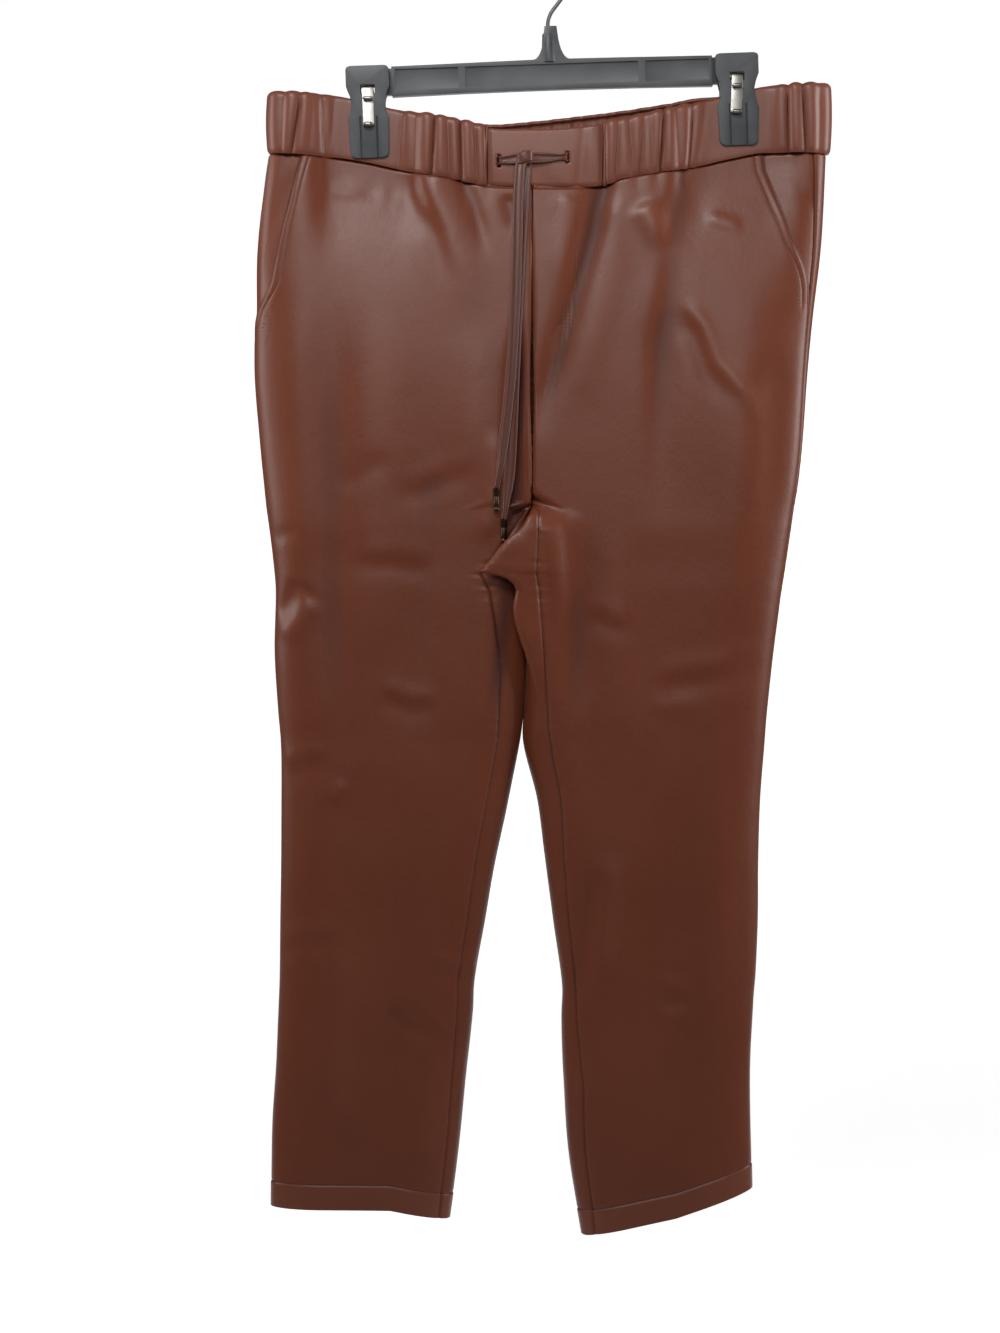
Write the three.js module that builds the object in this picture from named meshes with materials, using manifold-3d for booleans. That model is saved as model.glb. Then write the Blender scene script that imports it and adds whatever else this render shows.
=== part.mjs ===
// Faux leather pull-on trousers, hung by the waistband from a plastic clip hanger.
// Millimetres. X runs to the right as the front is faced, the front faces -Y, +Z is up.
// The origin is the inside top of the hook, where a rail carries the hanger.
import * as THREE from 'three';
import { mergeVertices } from 'three/addons/utils/BufferGeometryUtils.js';
import { RoundedBoxGeometry } from 'three/addons/geometries/RoundedBoxGeometry.js';
import Module from 'manifold-3d';

const wasm = await Module();
wasm.setup();

// ---------------------------------------------------------------- driving sizes
const seamGap = 0.3;
const clothWall = 2;
const bandWall = 3;
const flyWall = 1.2;
const waistSeamGap = 0.8;
const bearerWall = 1.4;
const bearerUnderlap = 10;
const bearerStandoff = 1.4;
const flyStandoff = 1.3;

const crotch = { z: -470, backRise: -424 };
const flatBand = { left: -52, right: 46 };
const slit = { leftX: -42.4, rightX: 15.6, width: 3.6, height: 12 };
const knot = { x: -19.5, z: -172, width: 11, depth: 6, height: 12 };
const pocketEnd = { left: -340, right: -304 };
const bearerEnd = { left: -330, right: -308 };

// The clips: their distance from the bar's middle, where they stand on the cloth, half of
// the pressed cloth, how far their grip reaches to the sides, and how it fades downwards.
const clamp = {
  x: 157.7, onCloth: [-155, 160], half: 3.6, reach: 44, smooth: 34, jawBottom: -172, fade: 62,
};
const gathers = { height: 1.1, frontPitch: 29, backPitch: 21 };
const hanger = {
  tilt: 1.95, barTop: -86.5, barHeight: 25.4, bow: 1.6, depth: 9, tongue: 7,
  ends: 151.4, shoulders: 137, neckTop: -64.5, neckRadius: 5.2, rib: 77,
};
const hook = { wire: 3.3, inner: 17.4, stemX: -1.9, bendZ: -50.6, slope: 54.7 };
const jaw = { top: -87.8, bottom: -165.5, wall: 5, half: 18.4 };
const spring = { width: 9.5, wall: 0.8, top: -108, bottom: -138.5, lean: 4 };
const tie = { width: 9, wall: 2.4, sides: 10 };
const aglet = { radius: 2.8, length: 19 };

// Sections through the hanging trousers: the side folds, the middle between the halves,
// half of the space between the legs, the depth of front and back from the middle plane,
// and how far in from each fold the depth is reached.
const sections = [
  { z: -105, left: -234, right: 241, mid: -14, part: 0, front: 14, back: 15, fold: 20, thigh: 0 },
  { z: -165, left: -240, right: 238, mid: -14, part: 0, front: 13, back: 15, fold: 24, thigh: 0 },
  { z: -202, left: -246, right: 237, mid: -14, part: 0, front: 16, back: 19, fold: 32, thigh: 0 },
  { z: -254, left: -252, right: 234, mid: -14, part: 0, front: 20, back: 25, fold: 46, thigh: 0 },
  { z: -306, left: -252, right: 228, mid: -14, part: 0, front: 23, back: 29, fold: 56, thigh: 0 },
  { z: -358, left: -253, right: 223, mid: -14, part: 0, front: 25, back: 31, fold: 60, thigh: 0 },
  { z: -410, left: -249, right: 219, mid: -14, part: 0, front: 26, back: 30, fold: 62, thigh: 0 },
  { z: -450, left: -245, right: 215, mid: -14, part: 0, front: 26, back: 29, fold: 61, thigh: 0 },
  { z: -470, left: -243, right: 212, mid: -14, part: 0, front: 26, back: 28, fold: 60, thigh: 3 },
  { z: -486, left: -241, right: 210, mid: -14, part: 0, front: 26, back: 27, fold: 59, thigh: 16 },
  { z: -514, left: -238, right: 206, mid: -15, part: 0, front: 25, back: 26, fold: 58, thigh: 30 },
  { z: -540, left: -236, right: 202, mid: -16, part: 0, front: 25, back: 26, fold: 58, thigh: 36 },
  { z: -592, left: -237, right: 195, mid: -18, part: 0, front: 24, back: 25, fold: 56, thigh: 40 },
  { z: -644, left: -234, right: 190, mid: -21, part: 0, front: 23, back: 24, fold: 55, thigh: 43 },
  { z: -672, left: -232, right: 188, mid: -23, part: 1.2, front: 22, back: 24, fold: 55, thigh: 45 },
  { z: -722, left: -232, right: 184, mid: -22, part: 12.6, front: 21, back: 23, fold: 53, thigh: 45 },
  { z: -774, left: -232, right: 183, mid: -24, part: 21.6, front: 21, back: 22, fold: 52, thigh: 45 },
  { z: -826, left: -233, right: 183, mid: -25, part: 29.4, front: 20, back: 22, fold: 51, thigh: 45 },
  { z: -878, left: -234, right: 181, mid: -26, part: 38, front: 20, back: 21, fold: 50, thigh: 45 },
  { z: -904, left: -235, right: 179, mid: -27, part: 38.6, front: 20, back: 21, fold: 50, thigh: 44 },
  { z: -956, left: -237, right: 177, mid: -28.5, part: 42.4, front: 20, back: 21, fold: 49, thigh: 43 },
  { z: -1008, left: -241, right: 177, mid: -29.5, part: 46.8, front: 19, back: 20, fold: 48, thigh: 42 },
  { z: -1060, left: -242, right: 178, mid: -28.5, part: 54.5, front: 19, back: 20, fold: 46, thigh: 40 },
  { z: -1100, left: -242, right: 179, mid: -27.5, part: 61, front: 19, back: 20, fold: 46, thigh: 40 },
];

// The waist droops between the clips: the band's top edge and its seam, front and back.
const waist = [
  { x: -242, top: -116, seam: -165, backTop: -116, backSeam: -165 },
  { x: -185, top: -119.5, seam: -169.5, backTop: -119, backSeam: -169 },
  { x: -155, top: -125, seam: -174, backTop: -125, backSeam: -174.5 },
  { x: -132, top: -131, seam: -179, backTop: -130, backSeam: -179.5 },
  { x: -93, top: -137.2, seam: -186, backTop: -137, backSeam: -187 },
  { x: -50, top: -145.8, seam: -194.5, backTop: -141.5, backSeam: -191.5 },
  { x: -14, top: -146.7, seam: -196, backTop: -139, backSeam: -189 },
  { x: 14, top: -145.8, seam: -196, backTop: -136, backSeam: -186 },
  { x: 44, top: -142.4, seam: -195, backTop: -132.5, backSeam: -182.5 },
  { x: 63, top: -139.6, seam: -188, backTop: -130, backSeam: -180 },
  { x: 123, top: -126.4, seam: -178, backTop: -121, backSeam: -172 },
  { x: 160, top: -118, seam: -170, backTop: -117, backSeam: -168.5 },
  { x: 183, top: -112, seam: -166, backTop: -112, backSeam: -165 },
  { x: 243, top: -109, seam: -166, backTop: -109, backSeam: -166 },
];

// The hem of each leg, from its outer fold to its inner fold or the other way round.
const hems = {
  left: [{ x: -242, z: -1077.5 }, { x: -137, z: -1078.5 }, { x: -88, z: -1088 }],
  right: [{ x: 34, z: -1102.5 }, { x: 111, z: -1085.5 }, { x: 180, z: -1061 }],
};

// Side seams, measured along the cloth from the outer fold: forwards is positive.
const sideSeams = [
  { z: -165, left: -10, right: 18 },
  { z: -211, left: -10, right: 15 },
  { z: -304, left: -10, right: 11 },
  { z: -410, left: -10, right: 7 },
  { z: -500, left: -10, right: 6 },
  { z: -620, left: -10, right: -6 },
  { z: -1100, left: -10, right: -8 },
];

// Slanted pocket openings, by their place across the front.
const pocketEdges = {
  left: [{ z: -165, x: -207 }, { z: -201, x: -218 }, { z: -235, x: -227 },
    { z: -284, x: -237.5 }, { z: -324, x: -246 }, { z: -350, x: -252 }],
  right: [{ z: -165, x: 182.5 }, { z: -195, x: 186 }, { z: -243, x: 205 }, { z: -304, x: 222.5 }],
};

// Inseams, by their distance across the front from the inner fold of each leg.
const inseams = [
  { z: -450, left: 0.1, right: 0.1 },
  { z: -470, left: 5, right: 5.2 },
  { z: -526, left: 42, right: 5 },
  { z: -541, left: 34, right: 8 },
  { z: -592, left: 24, right: 14 },
  { z: -672, left: 20, right: 24 },
  { z: -774, left: 17, right: 16 },
  { z: -878, left: 14, right: 11 },
  { z: -956, left: 12, right: 17 },
  { z: -1060, left: 10, right: 13 },
  { z: -1100, left: 9, right: 10 },
];

// The slack seat cloth that falls forward between the thighs: how far its edge
// reaches to the left of the middle, and how far it stands in front of the thigh.
const seatFold = [
  { z: -462, reach: 0, lift: 0 },
  { z: -470, reach: 0.2, lift: 9 },
  { z: -486, reach: 15, lift: 15 },
  { z: -506, reach: 31, lift: 15.5 },
  { z: -524.5, reach: 44.5, lift: 15 },
  { z: -529, reach: 22, lift: 10 },
  { z: -540, reach: 14, lift: 7 },
  { z: -566, reach: 11.5, lift: 5 },
  { z: -588, reach: 4, lift: 3 },
  { z: -605, reach: 0, lift: 0 },
];
const seatFoldRadius = 3.4;

// The largest folds: a ridge lifts the cloth and a trough sinks it along a line from
// (x, z) to (toX, toZ). Rows of the back face are the like ones on the hidden side.
const folds = [
  { face: 'front', x: 46, z: -196, toX: 32, toZ: -260, width: 12, height: -3.5 },
  { face: 'front', x: 32, z: -260, toX: 10, toZ: -345, width: 11, height: -3.5 },
  { face: 'front', x: 118, z: -180, toX: 96, toZ: -395, width: 16, height: -4 },
  { face: 'front', x: -126, z: -180, toX: -99, toZ: -235, width: 13, height: -3 },
  { face: 'front', x: -182, z: -250, toX: -186, toZ: -760, width: 20, height: -3 },
  { face: 'front', x: -24, z: -385, toX: -27, toZ: -480, width: 11, height: -5 },
  { face: 'front', x: 17, z: -522, toX: 22, toZ: -700, width: 14, height: -4 },
  { face: 'front', x: -236, z: -530, toX: -225, toZ: -575, width: 16, height: -3 },
  { face: 'front', x: -40, z: -690, toX: -80, toZ: -845, width: 20, height: 2.5 },
  { face: 'front', x: 95, z: -620, toX: 165, toZ: -600, width: 15, height: 2.5 },
  { face: 'back', x: -70, z: -205, toX: -95, toZ: -330, width: 17, height: -4 },
  { face: 'back', x: 60, z: -195, toX: 88, toZ: -340, width: 18, height: -4 },
  { face: 'back', x: -20, z: -320, toX: -62, toZ: -425, width: 22, height: -3 },
  { face: 'back', x: -8, z: -320, toX: 34, toZ: -430, width: 22, height: -3 },
  { face: 'back', x: -60, z: -560, toX: -150, toZ: -620, width: 18, height: 3 },
  { face: 'back', x: 30, z: -570, toX: 120, toZ: -640, width: 18, height: 3 },
];

// Heights of the rows of cloth, closest at the crotch, and the columns of each piece.
const rowHeights = [-181, -212, -258, -305, -330, -350, -395, -424, -447, -470, -486, -506, -524.5, -529,
  -540, -566, -605, -640, -672, -722, -774, -840, -892, -956, -1020, -1082];
const columns = { front: 15, back: 18, acrossShare: 0.56, bearer: 6, fly: 6, elastic: 76, flat: 8 };

// Free ends of the tie, from the knot down to the aglets.
const tieRoutes = {
  long: [[-19.4, -15.2, -178.5], [-20, -16.4, -186], [-21.2, -18.4, -202], [-22.5, -20.6, -224],
    [-24, -22.9, -250], [-25.5, -24.8, -280], [-27, -26.3, -310], [-28.4, -27.4, -340],
    [-29.8, -28.2, -370], [-31, -28.6, -400], [-32.2, -28.8, -425], [-34, -28.9, -445],
    [-36.6, -29.5, -463], [-38.2, -30.2, -478.5]],
  short: [[-24.2, -18.6, -178.5], [-25, -20, -187], [-26, -21.8, -203], [-26.6, -24, -225],
    [-27.2, -26.2, -250], [-28.2, -28.1, -280], [-29.6, -29.6, -310], [-31.4, -30.7, -340],
    [-34, -31.4, -372], [-37.4, -31.7, -402], [-41, -31.8, -430], [-44.4, -31.6, -452]],
};

const shades = {
  cloth: { color: 0x6e3a2a, roughness: 0.42, metalness: 0 },
  band: { color: 0x74402f, roughness: 0.45, metalness: 0 },
  tie: { color: 0x5e2f22, roughness: 0.5, metalness: 0 },
  plastic: { color: 0x1d1f21, roughness: 0.45, metalness: 0 },
  steel: { color: 0xb9b8ad, roughness: 0.3, metalness: 1 },
  bronze: { color: 0x3c2a22, roughness: 0.35, metalness: 1 },
};

// ---------------------------------------------------------------- tables
// Value of a named column at a place, on a smooth curve through the rows.
function smoothAt(table, by, name, at) {
  const rows = [...table].sort((a, b) => a[by] - b[by]);
  const last = rows.length - 1;
  if (at <= rows[0][by]) return rows[0][name];
  if (at >= rows[last][by]) return rows[last][name];
  const i = rows.findIndex((row, k) => k < last && at < rows[k + 1][by]);
  const slope = (k) => {
    const before = rows[Math.max(k - 1, 0)];
    const after = rows[Math.min(k + 1, last)];
    return (after[name] - before[name]) / (after[by] - before[by]);
  };
  const step = rows[i + 1][by] - rows[i][by];
  const t = (at - rows[i][by]) / step;
  const rise = rows[i + 1][name] - rows[i][name];
  const ease = t * t * (3 - 2 * t);
  const bend = t * (1 - t) * ((1 - t) * slope(i) - t * slope(i + 1)) * step;
  return rows[i][name] + ease * rise + bend;
}

// The same on straight lines between the rows.
function straightAt(table, by, name, at) {
  const rows = [...table].sort((a, b) => a[by] - b[by]);
  const last = rows.length - 1;
  if (at <= rows[0][by]) return rows[0][name];
  if (at >= rows[last][by]) return rows[last][name];
  const i = rows.findIndex((row, k) => k < last && at < rows[k + 1][by]);
  const t = (at - rows[i][by]) / (rows[i + 1][by] - rows[i][by]);
  return THREE.MathUtils.lerp(rows[i][name], rows[i + 1][name], t);
}

const section = (name, z) => smoothAt(sections, 'z', name, z);
const thighAt = (z) => Math.max(straightAt(sections, 'z', 'thigh', z), 0.05);

// ---------------------------------------------------------------- form of the cloth
// 1 between the jaws of a clip and 0 away from both.
function nearClips(x, reach) {
  return Math.max(...clamp.onCloth.map((clip) => Math.exp(-(((x - clip) / reach) ** 6))));
}

// Depth of the cloth is pressed together by the clips at the waist.
function pressed(x, y, z) {
  const away = Math.max(clamp.jawBottom - z, 0) / clamp.fade;
  const grip = nearClips(x, clamp.reach) * Math.exp(-away * away);
  const depth = Math.abs(y);
  if (depth <= clamp.half) return y;
  return Math.sign(y) * (clamp.half + (depth - clamp.half) * (1 - grip));
}

// Height of the folds at a place of one face.
function foldHeight(face, x, z) {
  let height = 0;
  for (const fold of folds.filter((row) => row.face === face)) {
    const run = new THREE.Vector2(fold.toX - fold.x, fold.toZ - fold.z);
    const from = new THREE.Vector2(x - fold.x, z - fold.z);
    const along = THREE.MathUtils.clamp(from.dot(run) / run.lengthSq(), 0, 1);
    const off = from.addScaledVector(run, -along).length() / fold.width;
    const taper = 0.35 + 0.65 * Math.sin(Math.PI * along);
    height += fold.height * taper * Math.exp(-off * off);
  }
  return height;
}

// Inner edge of one half: the middle plane down to the crotch, then the inside of the leg.
function innerX(side, z) {
  return section('mid', z) + side * Math.max(section('part', z), seamGap / 2);
}

// One closed level outline of a half, as points on arcs and lines with the length
// along them. It starts inside the leg, on the middle plane, and passes the front.
function outline(side, z) {
  const inner = innerX(side, z);
  const outer = side < 0 ? section('left', z) : section('right', z);
  const front = section('front', z);
  const back = section('back', z);
  const fold = section('fold', z);
  const thigh = thighAt(z);
  const points = [];
  const quarter = (cx, rx, ry, from, to, steps) => {
    for (let k = 0; k <= steps; k++) {
      const a = THREE.MathUtils.lerp(from, to, k / steps) * Math.PI / 2;
      points.push(new THREE.Vector2(cx + rx * Math.cos(a), ry * Math.sin(a)));
    }
  };
  const reach = straightAt(seatFold, 'z', 'reach', z);
  const lift = straightAt(seatFold, 'z', 'lift', z);
  const falls = side > 0 && lift > 0;
  if (falls) {
    const tipX = inner - reach + seatFoldRadius;
    const tipY = -(front + lift) + seatFoldRadius;
    points.push(new THREE.Vector2(inner, 0));
    points.push(new THREE.Vector2(inner, -(front - 3)));
    points.push(new THREE.Vector2(Math.min(inner, tipX + 4), tipY + seatFoldRadius));
    for (let k = 0; k <= 8; k++) {
      const a = Math.PI / 2 + Math.PI * k / 8;
      const turn = new THREE.Vector2(Math.cos(a), Math.sin(a)).multiplyScalar(seatFoldRadius);
      points.push(turn.add(new THREE.Vector2(tipX, tipY)));
    }
    points.push(new THREE.Vector2(inner + 16, -(front + lift * 0.5)));
    points.push(new THREE.Vector2(inner + 44, -front));
  } else {
    quarter(inner + side * thigh, -side * thigh, -front, 0, 1, 14);
  }
  quarter(outer - side * fold, side * fold, -front, 1, 0, 18);
  quarter(outer - side * fold, side * fold, back, 0, 1, 18);
  const inBack = side > 0 && falls ? Math.min(thigh, 12) : thigh;
  quarter(inner + side * inBack, -side * inBack, back, 1, 0, 14);
  const lengths = [0];
  for (let k = 1; k < points.length; k++) {
    lengths.push(lengths[k - 1] + points[k].distanceTo(points[k - 1]));
  }
  return { side, z, inner, outer, points, lengths };
}

const total = (ring) => ring.lengths[ring.lengths.length - 1];

// A point of the outline by its length from the start; past the end it starts again.
function pointAt(ring, length) {
  const round = total(ring);
  const at = length > round ? length - round : length;
  let k = ring.lengths.findIndex((value) => value > at);
  if (k < 0) k = ring.lengths.length - 1;
  const t = (at - ring.lengths[k - 1]) / (ring.lengths[k] - ring.lengths[k - 1]);
  return ring.points[k - 1].clone().lerp(ring.points[k], t);
}

// Length at which the outline passes its outer fold.
function outerLength(ring) {
  let best = 0;
  ring.points.forEach((point, k) => {
    if (ring.side * point.x > ring.side * ring.points[best].x) best = k;
  });
  return ring.lengths[best];
}

// Length at which one face of the outline passes a place across.
function lengthAtX(ring, x, face) {
  let low = outerLength(ring);
  let high = face === 'front' ? 0 : total(ring);
  for (let k = 0; k < 40; k++) {
    const half = (low + high) / 2;
    const beyond = ring.side * pointAt(ring, half).x > ring.side * x;
    if (beyond) low = half;
    else high = half;
  }
  return (low + high) / 2;
}

// Length of the inseam: it starts at the crotch on the middle plane and runs down the front.
function inseamLength(ring) {
  const name = ring.side < 0 ? 'left' : 'right';
  const off = straightAt(inseams, 'z', name, ring.z);
  return lengthAtX(ring, ring.inner + ring.side * off, 'front');
}

function sideSeamLength(ring) {
  const name = ring.side < 0 ? 'left' : 'right';
  return outerLength(ring) - straightAt(sideSeams, 'z', name, ring.z);
}

function pocketLength(ring) {
  const name = ring.side < 0 ? 'left' : 'right';
  return lengthAtX(ring, straightAt(pocketEdges[name], 'z', 'x', ring.z), 'front');
}

// Rows keep level in the middle of the trousers and follow the waist seam and the hems.
const levels = { band: -151, waist: -181, still: -420, drop: -760, hem: -1082 };

function drooped(side, face, x, z) {
  const top = THREE.MathUtils.smoothstep(z, levels.still, levels.waist);
  const foot = THREE.MathUtils.smoothstep(-z, -levels.drop, -levels.hem);
  const seam = face === 'front'
    ? smoothAt(waist, 'x', 'seam', x) - waistSeamGap
    : smoothAt(waist, 'x', 'backSeam', x) - waistSeamGap;
  const hem = straightAt(side < 0 ? hems.left : hems.right, 'x', 'z', x);
  return z + top * (seam - levels.waist) + foot * (hem - levels.hem);
}

// A point of the cloth's outer surface, with folds and the grip of the clips.
function clothPoint(ring, length) {
  const flat = pointAt(ring, length);
  const face = flat.y < 0 ? 'front' : 'back';
  const depth = section(face, ring.z);
  const share = THREE.MathUtils.smoothstep(Math.abs(flat.y) / depth, 0.45, 1);
  const lift = foldHeight(face, flat.x, ring.z) * share;
  const y = pressed(flat.x, flat.y + Math.sign(flat.y) * lift, ring.z);
  return new THREE.Vector3(flat.x, y, drooped(ring.side, face, flat.x, ring.z));
}

// ---------------------------------------------------------------- walls
// A closed wall behind a grid of outer points. The turn is +1 or -1, whichever way the
// columns run round the body; the wall lies between two distances under the surface.
// A point may bring its own directions across and down, so that both sides of a seam
// share them.
function wall(grid, turn, from, to) {
  const rows = grid.length;
  const count = grid[0].length;
  const normal = (i, j) => {
    const down = grid[Math.min(i + 1, rows - 1)][j].clone().sub(grid[Math.max(i - 1, 0)][j]);
    const next = grid[i][Math.min(j + 1, count - 1)].clone().sub(grid[i][Math.max(j - 1, 0)]);
    const across = grid[i][j].across ? grid[i][j].across.clone() : next;
    return across.cross(grid[i][j].down ?? down).normalize().multiplyScalar(-turn);
  };
  const positions = [];
  for (const depth of [from, to]) {
    for (let i = 0; i < rows; i++) {
      for (let j = 0; j < count; j++) {
        positions.push(...grid[i][j].clone().addScaledVector(normal(i, j), -depth));
      }
    }
  }
  const index = [];
  const at = (layer, i, j) => layer * rows * count + i * count + j;
  const quad = (a, b, c, d) => {
    if (turn > 0) index.push(a, c, b, a, d, c);
    else index.push(a, b, c, a, c, d);
  };
  for (let i = 0; i < rows - 1; i++) {
    for (let j = 0; j < count - 1; j++) {
      quad(at(0, i, j), at(0, i, j + 1), at(0, i + 1, j + 1), at(0, i + 1, j));
      quad(at(1, i, j), at(1, i + 1, j), at(1, i + 1, j + 1), at(1, i, j + 1));
    }
  }
  for (let j = 0; j < count - 1; j++) {
    quad(at(0, 0, j), at(1, 0, j), at(1, 0, j + 1), at(0, 0, j + 1));
    quad(at(0, rows - 1, j), at(0, rows - 1, j + 1), at(1, rows - 1, j + 1), at(1, rows - 1, j));
  }
  for (let i = 0; i < rows - 1; i++) {
    quad(at(0, i, 0), at(0, i + 1, 0), at(1, i + 1, 0), at(1, i, 0));
    quad(at(0, i, count - 1), at(1, i, count - 1), at(1, i + 1, count - 1), at(0, i + 1, count - 1));
  }
  const geometry = new THREE.BufferGeometry();
  geometry.setAttribute('position', new THREE.Float32BufferAttribute(positions, 3));
  geometry.setIndex(index);
  return geometry;
}

// One row of cloth points; lengthOf gives the length along the outline for each share.
// Directions across are taken between two limits, so that none is taken round a corner.
function clothRow(ring, count, lengthOf, low, high) {
  const near = 1.5;
  const above = outline(ring.side, ring.z + near);
  const below = outline(ring.side, ring.z - near);
  return Array.from({ length: count + 1 }, (_, j) => {
    const length = lengthOf(j / count);
    const point = clothPoint(ring, length);
    const ahead = clothPoint(ring, Math.min(length + near, high));
    point.across = ahead.sub(clothPoint(ring, Math.max(length - near, low)));
    if (ring.z > crotch.backRise + near) {
      const fromFold = length - outerLength(ring);
      const upper = clothPoint(above, outerLength(above) + fromFold);
      point.down = clothPoint(below, outerLength(below) + fromFold).sub(upper);
    }
    return point;
  });
}

function material(shade) {
  return new THREE.MeshStandardMaterial(shades[shade]);
}

function piece(name, geometry, shade) {
  const mesh = new THREE.Mesh(geometry, material(shade));
  mesh.name = name;
  return mesh;
}

// ---------------------------------------------------------------- legs and hips
const sideName = (side) => (side < 0 ? 'left' : 'right');

function frontPanel(side) {
  const start = (ring) => inseamLength(ring) + seamGap;
  const end = (ring) => {
    const seam = sideSeamLength(ring) - seamGap / 2;
    const slanted = ring.z > pocketEnd[sideName(side)];
    return slanted ? Math.min(pocketLength(ring), seam) : seam;
  };
  const grid = rowHeights.map((z) => {
    const ring = outline(side, z);
    return clothRow(ring, columns.front, (t) => {
      return THREE.MathUtils.lerp(start(ring), end(ring), 1 - (1 - t) ** 1.6);
    }, start(ring), Infinity);
  });
  return piece(`front_panel_${sideName(side)}`, wall(grid, side, 0, clothWall), 'cloth');
}

// The back panel ends at the middle seam, then passes under the crotch to the inseam.
function backPanel(side) {
  const grid = rowHeights.map((z) => {
    const ring = outline(side, z);
    const start = sideSeamLength(ring) + seamGap / 2;
    const corner = lengthAtX(ring, ring.inner + side * Math.max(0.1, thighAt(z) * 0.8), 'back');
    const inseam = total(ring) + inseamLength(ring) - seamGap / 2;
    const under = THREE.MathUtils.clamp((crotch.backRise - z) / (crotch.backRise - crotch.z), 0, 1);
    const end = THREE.MathUtils.lerp(corner, inseam, under);
    const share = THREE.MathUtils.lerp(1, columns.acrossShare, under);
    return clothRow(ring, columns.back, (t) => {
      if (t <= share) return THREE.MathUtils.lerp(start, corner, (t / share) ** 1.35);
      return THREE.MathUtils.lerp(corner, end, (t - share) / (1 - share));
    }, 0, under > 0 ? Infinity : end);
  });
  return piece(`back_panel_${sideName(side)}`, wall(grid, side, 0, clothWall), 'cloth');
}

// The pocket's own cloth shows in the slanted opening, from under the front panel's edge
// to under the back panel's.
function pocketBearer(side) {
  const last = bearerEnd[sideName(side)];
  const heights = rowHeights.filter((z) => z > last);
  const start = (ring) => Math.min(pocketLength(ring), sideSeamLength(ring)) - bearerUnderlap;
  const end = (ring) => sideSeamLength(ring) + 5;
  const grid = [...heights, last].map((z) => {
    const ring = outline(side, z);
    const even = (t) => THREE.MathUtils.lerp(start(ring), end(ring), t);
    return clothRow(ring, columns.bearer, even, 0, Infinity);
  });
  const under = clothWall + bearerStandoff;
  return piece(`pocket_bearer_${sideName(side)}`, wall(grid, side, under, under + bearerWall), 'cloth');
}

// A J-shaped fly, stitched down on the right front beside the middle seam. Its points
// lie on the panel under it, found by looking at the panel from the front.
function mockFly(panel) {
  const edge = [{ z: -198, x: 27 }, { z: -258, x: 24 }, { z: -305, x: 23 }, { z: -340, x: 17 },
    { z: -365, x: 9 }, { z: -382, x: -1 }, { z: -394, x: -9 }];
  const ray = new THREE.Raycaster();
  const toBack = new THREE.Vector3(0, 1, 0);
  const grid = [-198, -228, -258, -285, -310, -332, -352, -370, -384, -394].map((z) => {
    const from = innerX(1, z) + 0.6;
    const to = straightAt(edge, 'z', 'x', z);
    return Array.from({ length: columns.fly + 1 }, (_, k) => {
      ray.set(new THREE.Vector3(THREE.MathUtils.lerp(from, to, k / columns.fly), -200, z), toBack);
      return ray.intersectObject(panel)[0].point;
    });
  });
  return piece('mock_fly', wall(grid, 1, -flyStandoff - flyWall, -flyStandoff), 'cloth');
}

// ---------------------------------------------------------------- waistband
// A point of the band's outer face: share 0 is its top edge and 1 its seam.
function bandPoint(side, face, length, share) {
  const ring = outline(side, levels.band);
  const flat = pointAt(ring, length);
  const top = smoothAt(waist, 'x', face === 'front' ? 'top' : 'backTop', flat.x);
  const foot = smoothAt(waist, 'x', face === 'front' ? 'seam' : 'backSeam', flat.x);
  const z = THREE.MathUtils.lerp(top, foot, share);
  return new THREE.Vector3(flat.x, pressed(flat.x, flat.y, clamp.jawBottom), z);
}

// Gathers of the elastic stretch: soft pleats, closer at the back than in front.
function gather(point, walked) {
  const pitch = point.y < 0 ? gathers.frontPitch : gathers.backPitch;
  const free = 1 - nearClips(point.x, clamp.smooth);
  const height = gathers.height * free * Math.sin(2 * Math.PI * walked / pitch);
  point.y += Math.sign(point.y) * height * THREE.MathUtils.smoothstep(Math.abs(point.y), 3, 9);
  return point;
}

function elasticBand() {
  const stops = [];
  for (const side of [-1, 1]) {
    const ring = outline(side, levels.band);
    const edge = side < 0 ? flatBand.left - seamGap / 2 : flatBand.right + seamGap / 2;
    const start = lengthAtX(ring, edge, 'front');
    const turn = outerLength(ring);
    const end = lengthAtX(ring, ring.inner + side * 0.1, 'back');
    const half = columns.elastic / 2;
    const run = Array.from({ length: half + 1 }, (_, j) => {
      const length = THREE.MathUtils.lerp(start, end, j / half);
      return { side, length, face: length < turn ? 'front' : 'back', walked: length - start };
    });
    stops.push(...(side < 0 ? run : run.reverse().slice(1)));
  }
  const grid = [0, 0.5, 1].map((share) => stops.map((stop) => {
    return gather(bandPoint(stop.side, stop.face, stop.length, share), stop.walked);
  }));
  return piece('waistband_elastic', wall(grid, -1, 0, bandWall), 'band');
}

// Boolean pieces are made from closed meshes with their doubles merged.
function solid(geometry) {
  const bare = geometry.index ? geometry.toNonIndexed() : geometry.clone();
  bare.deleteAttribute('normal');
  bare.deleteAttribute('uv');
  const merged = mergeVertices(bare, 1e-4);
  return new wasm.Manifold(new wasm.Mesh({
    numProp: 3,
    vertProperties: new Float32Array(merged.attributes.position.array),
    triVerts: new Uint32Array(merged.index.array),
  }));
}

function fromSolid(made) {
  const mesh = made.getMesh();
  const geometry = new THREE.BufferGeometry();
  geometry.setAttribute('position', new THREE.Float32BufferAttribute(mesh.vertProperties, 3));
  geometry.setIndex([...mesh.triVerts]);
  return geometry;
}

const slitZ = { left: -173.6, right: -171 };

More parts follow.
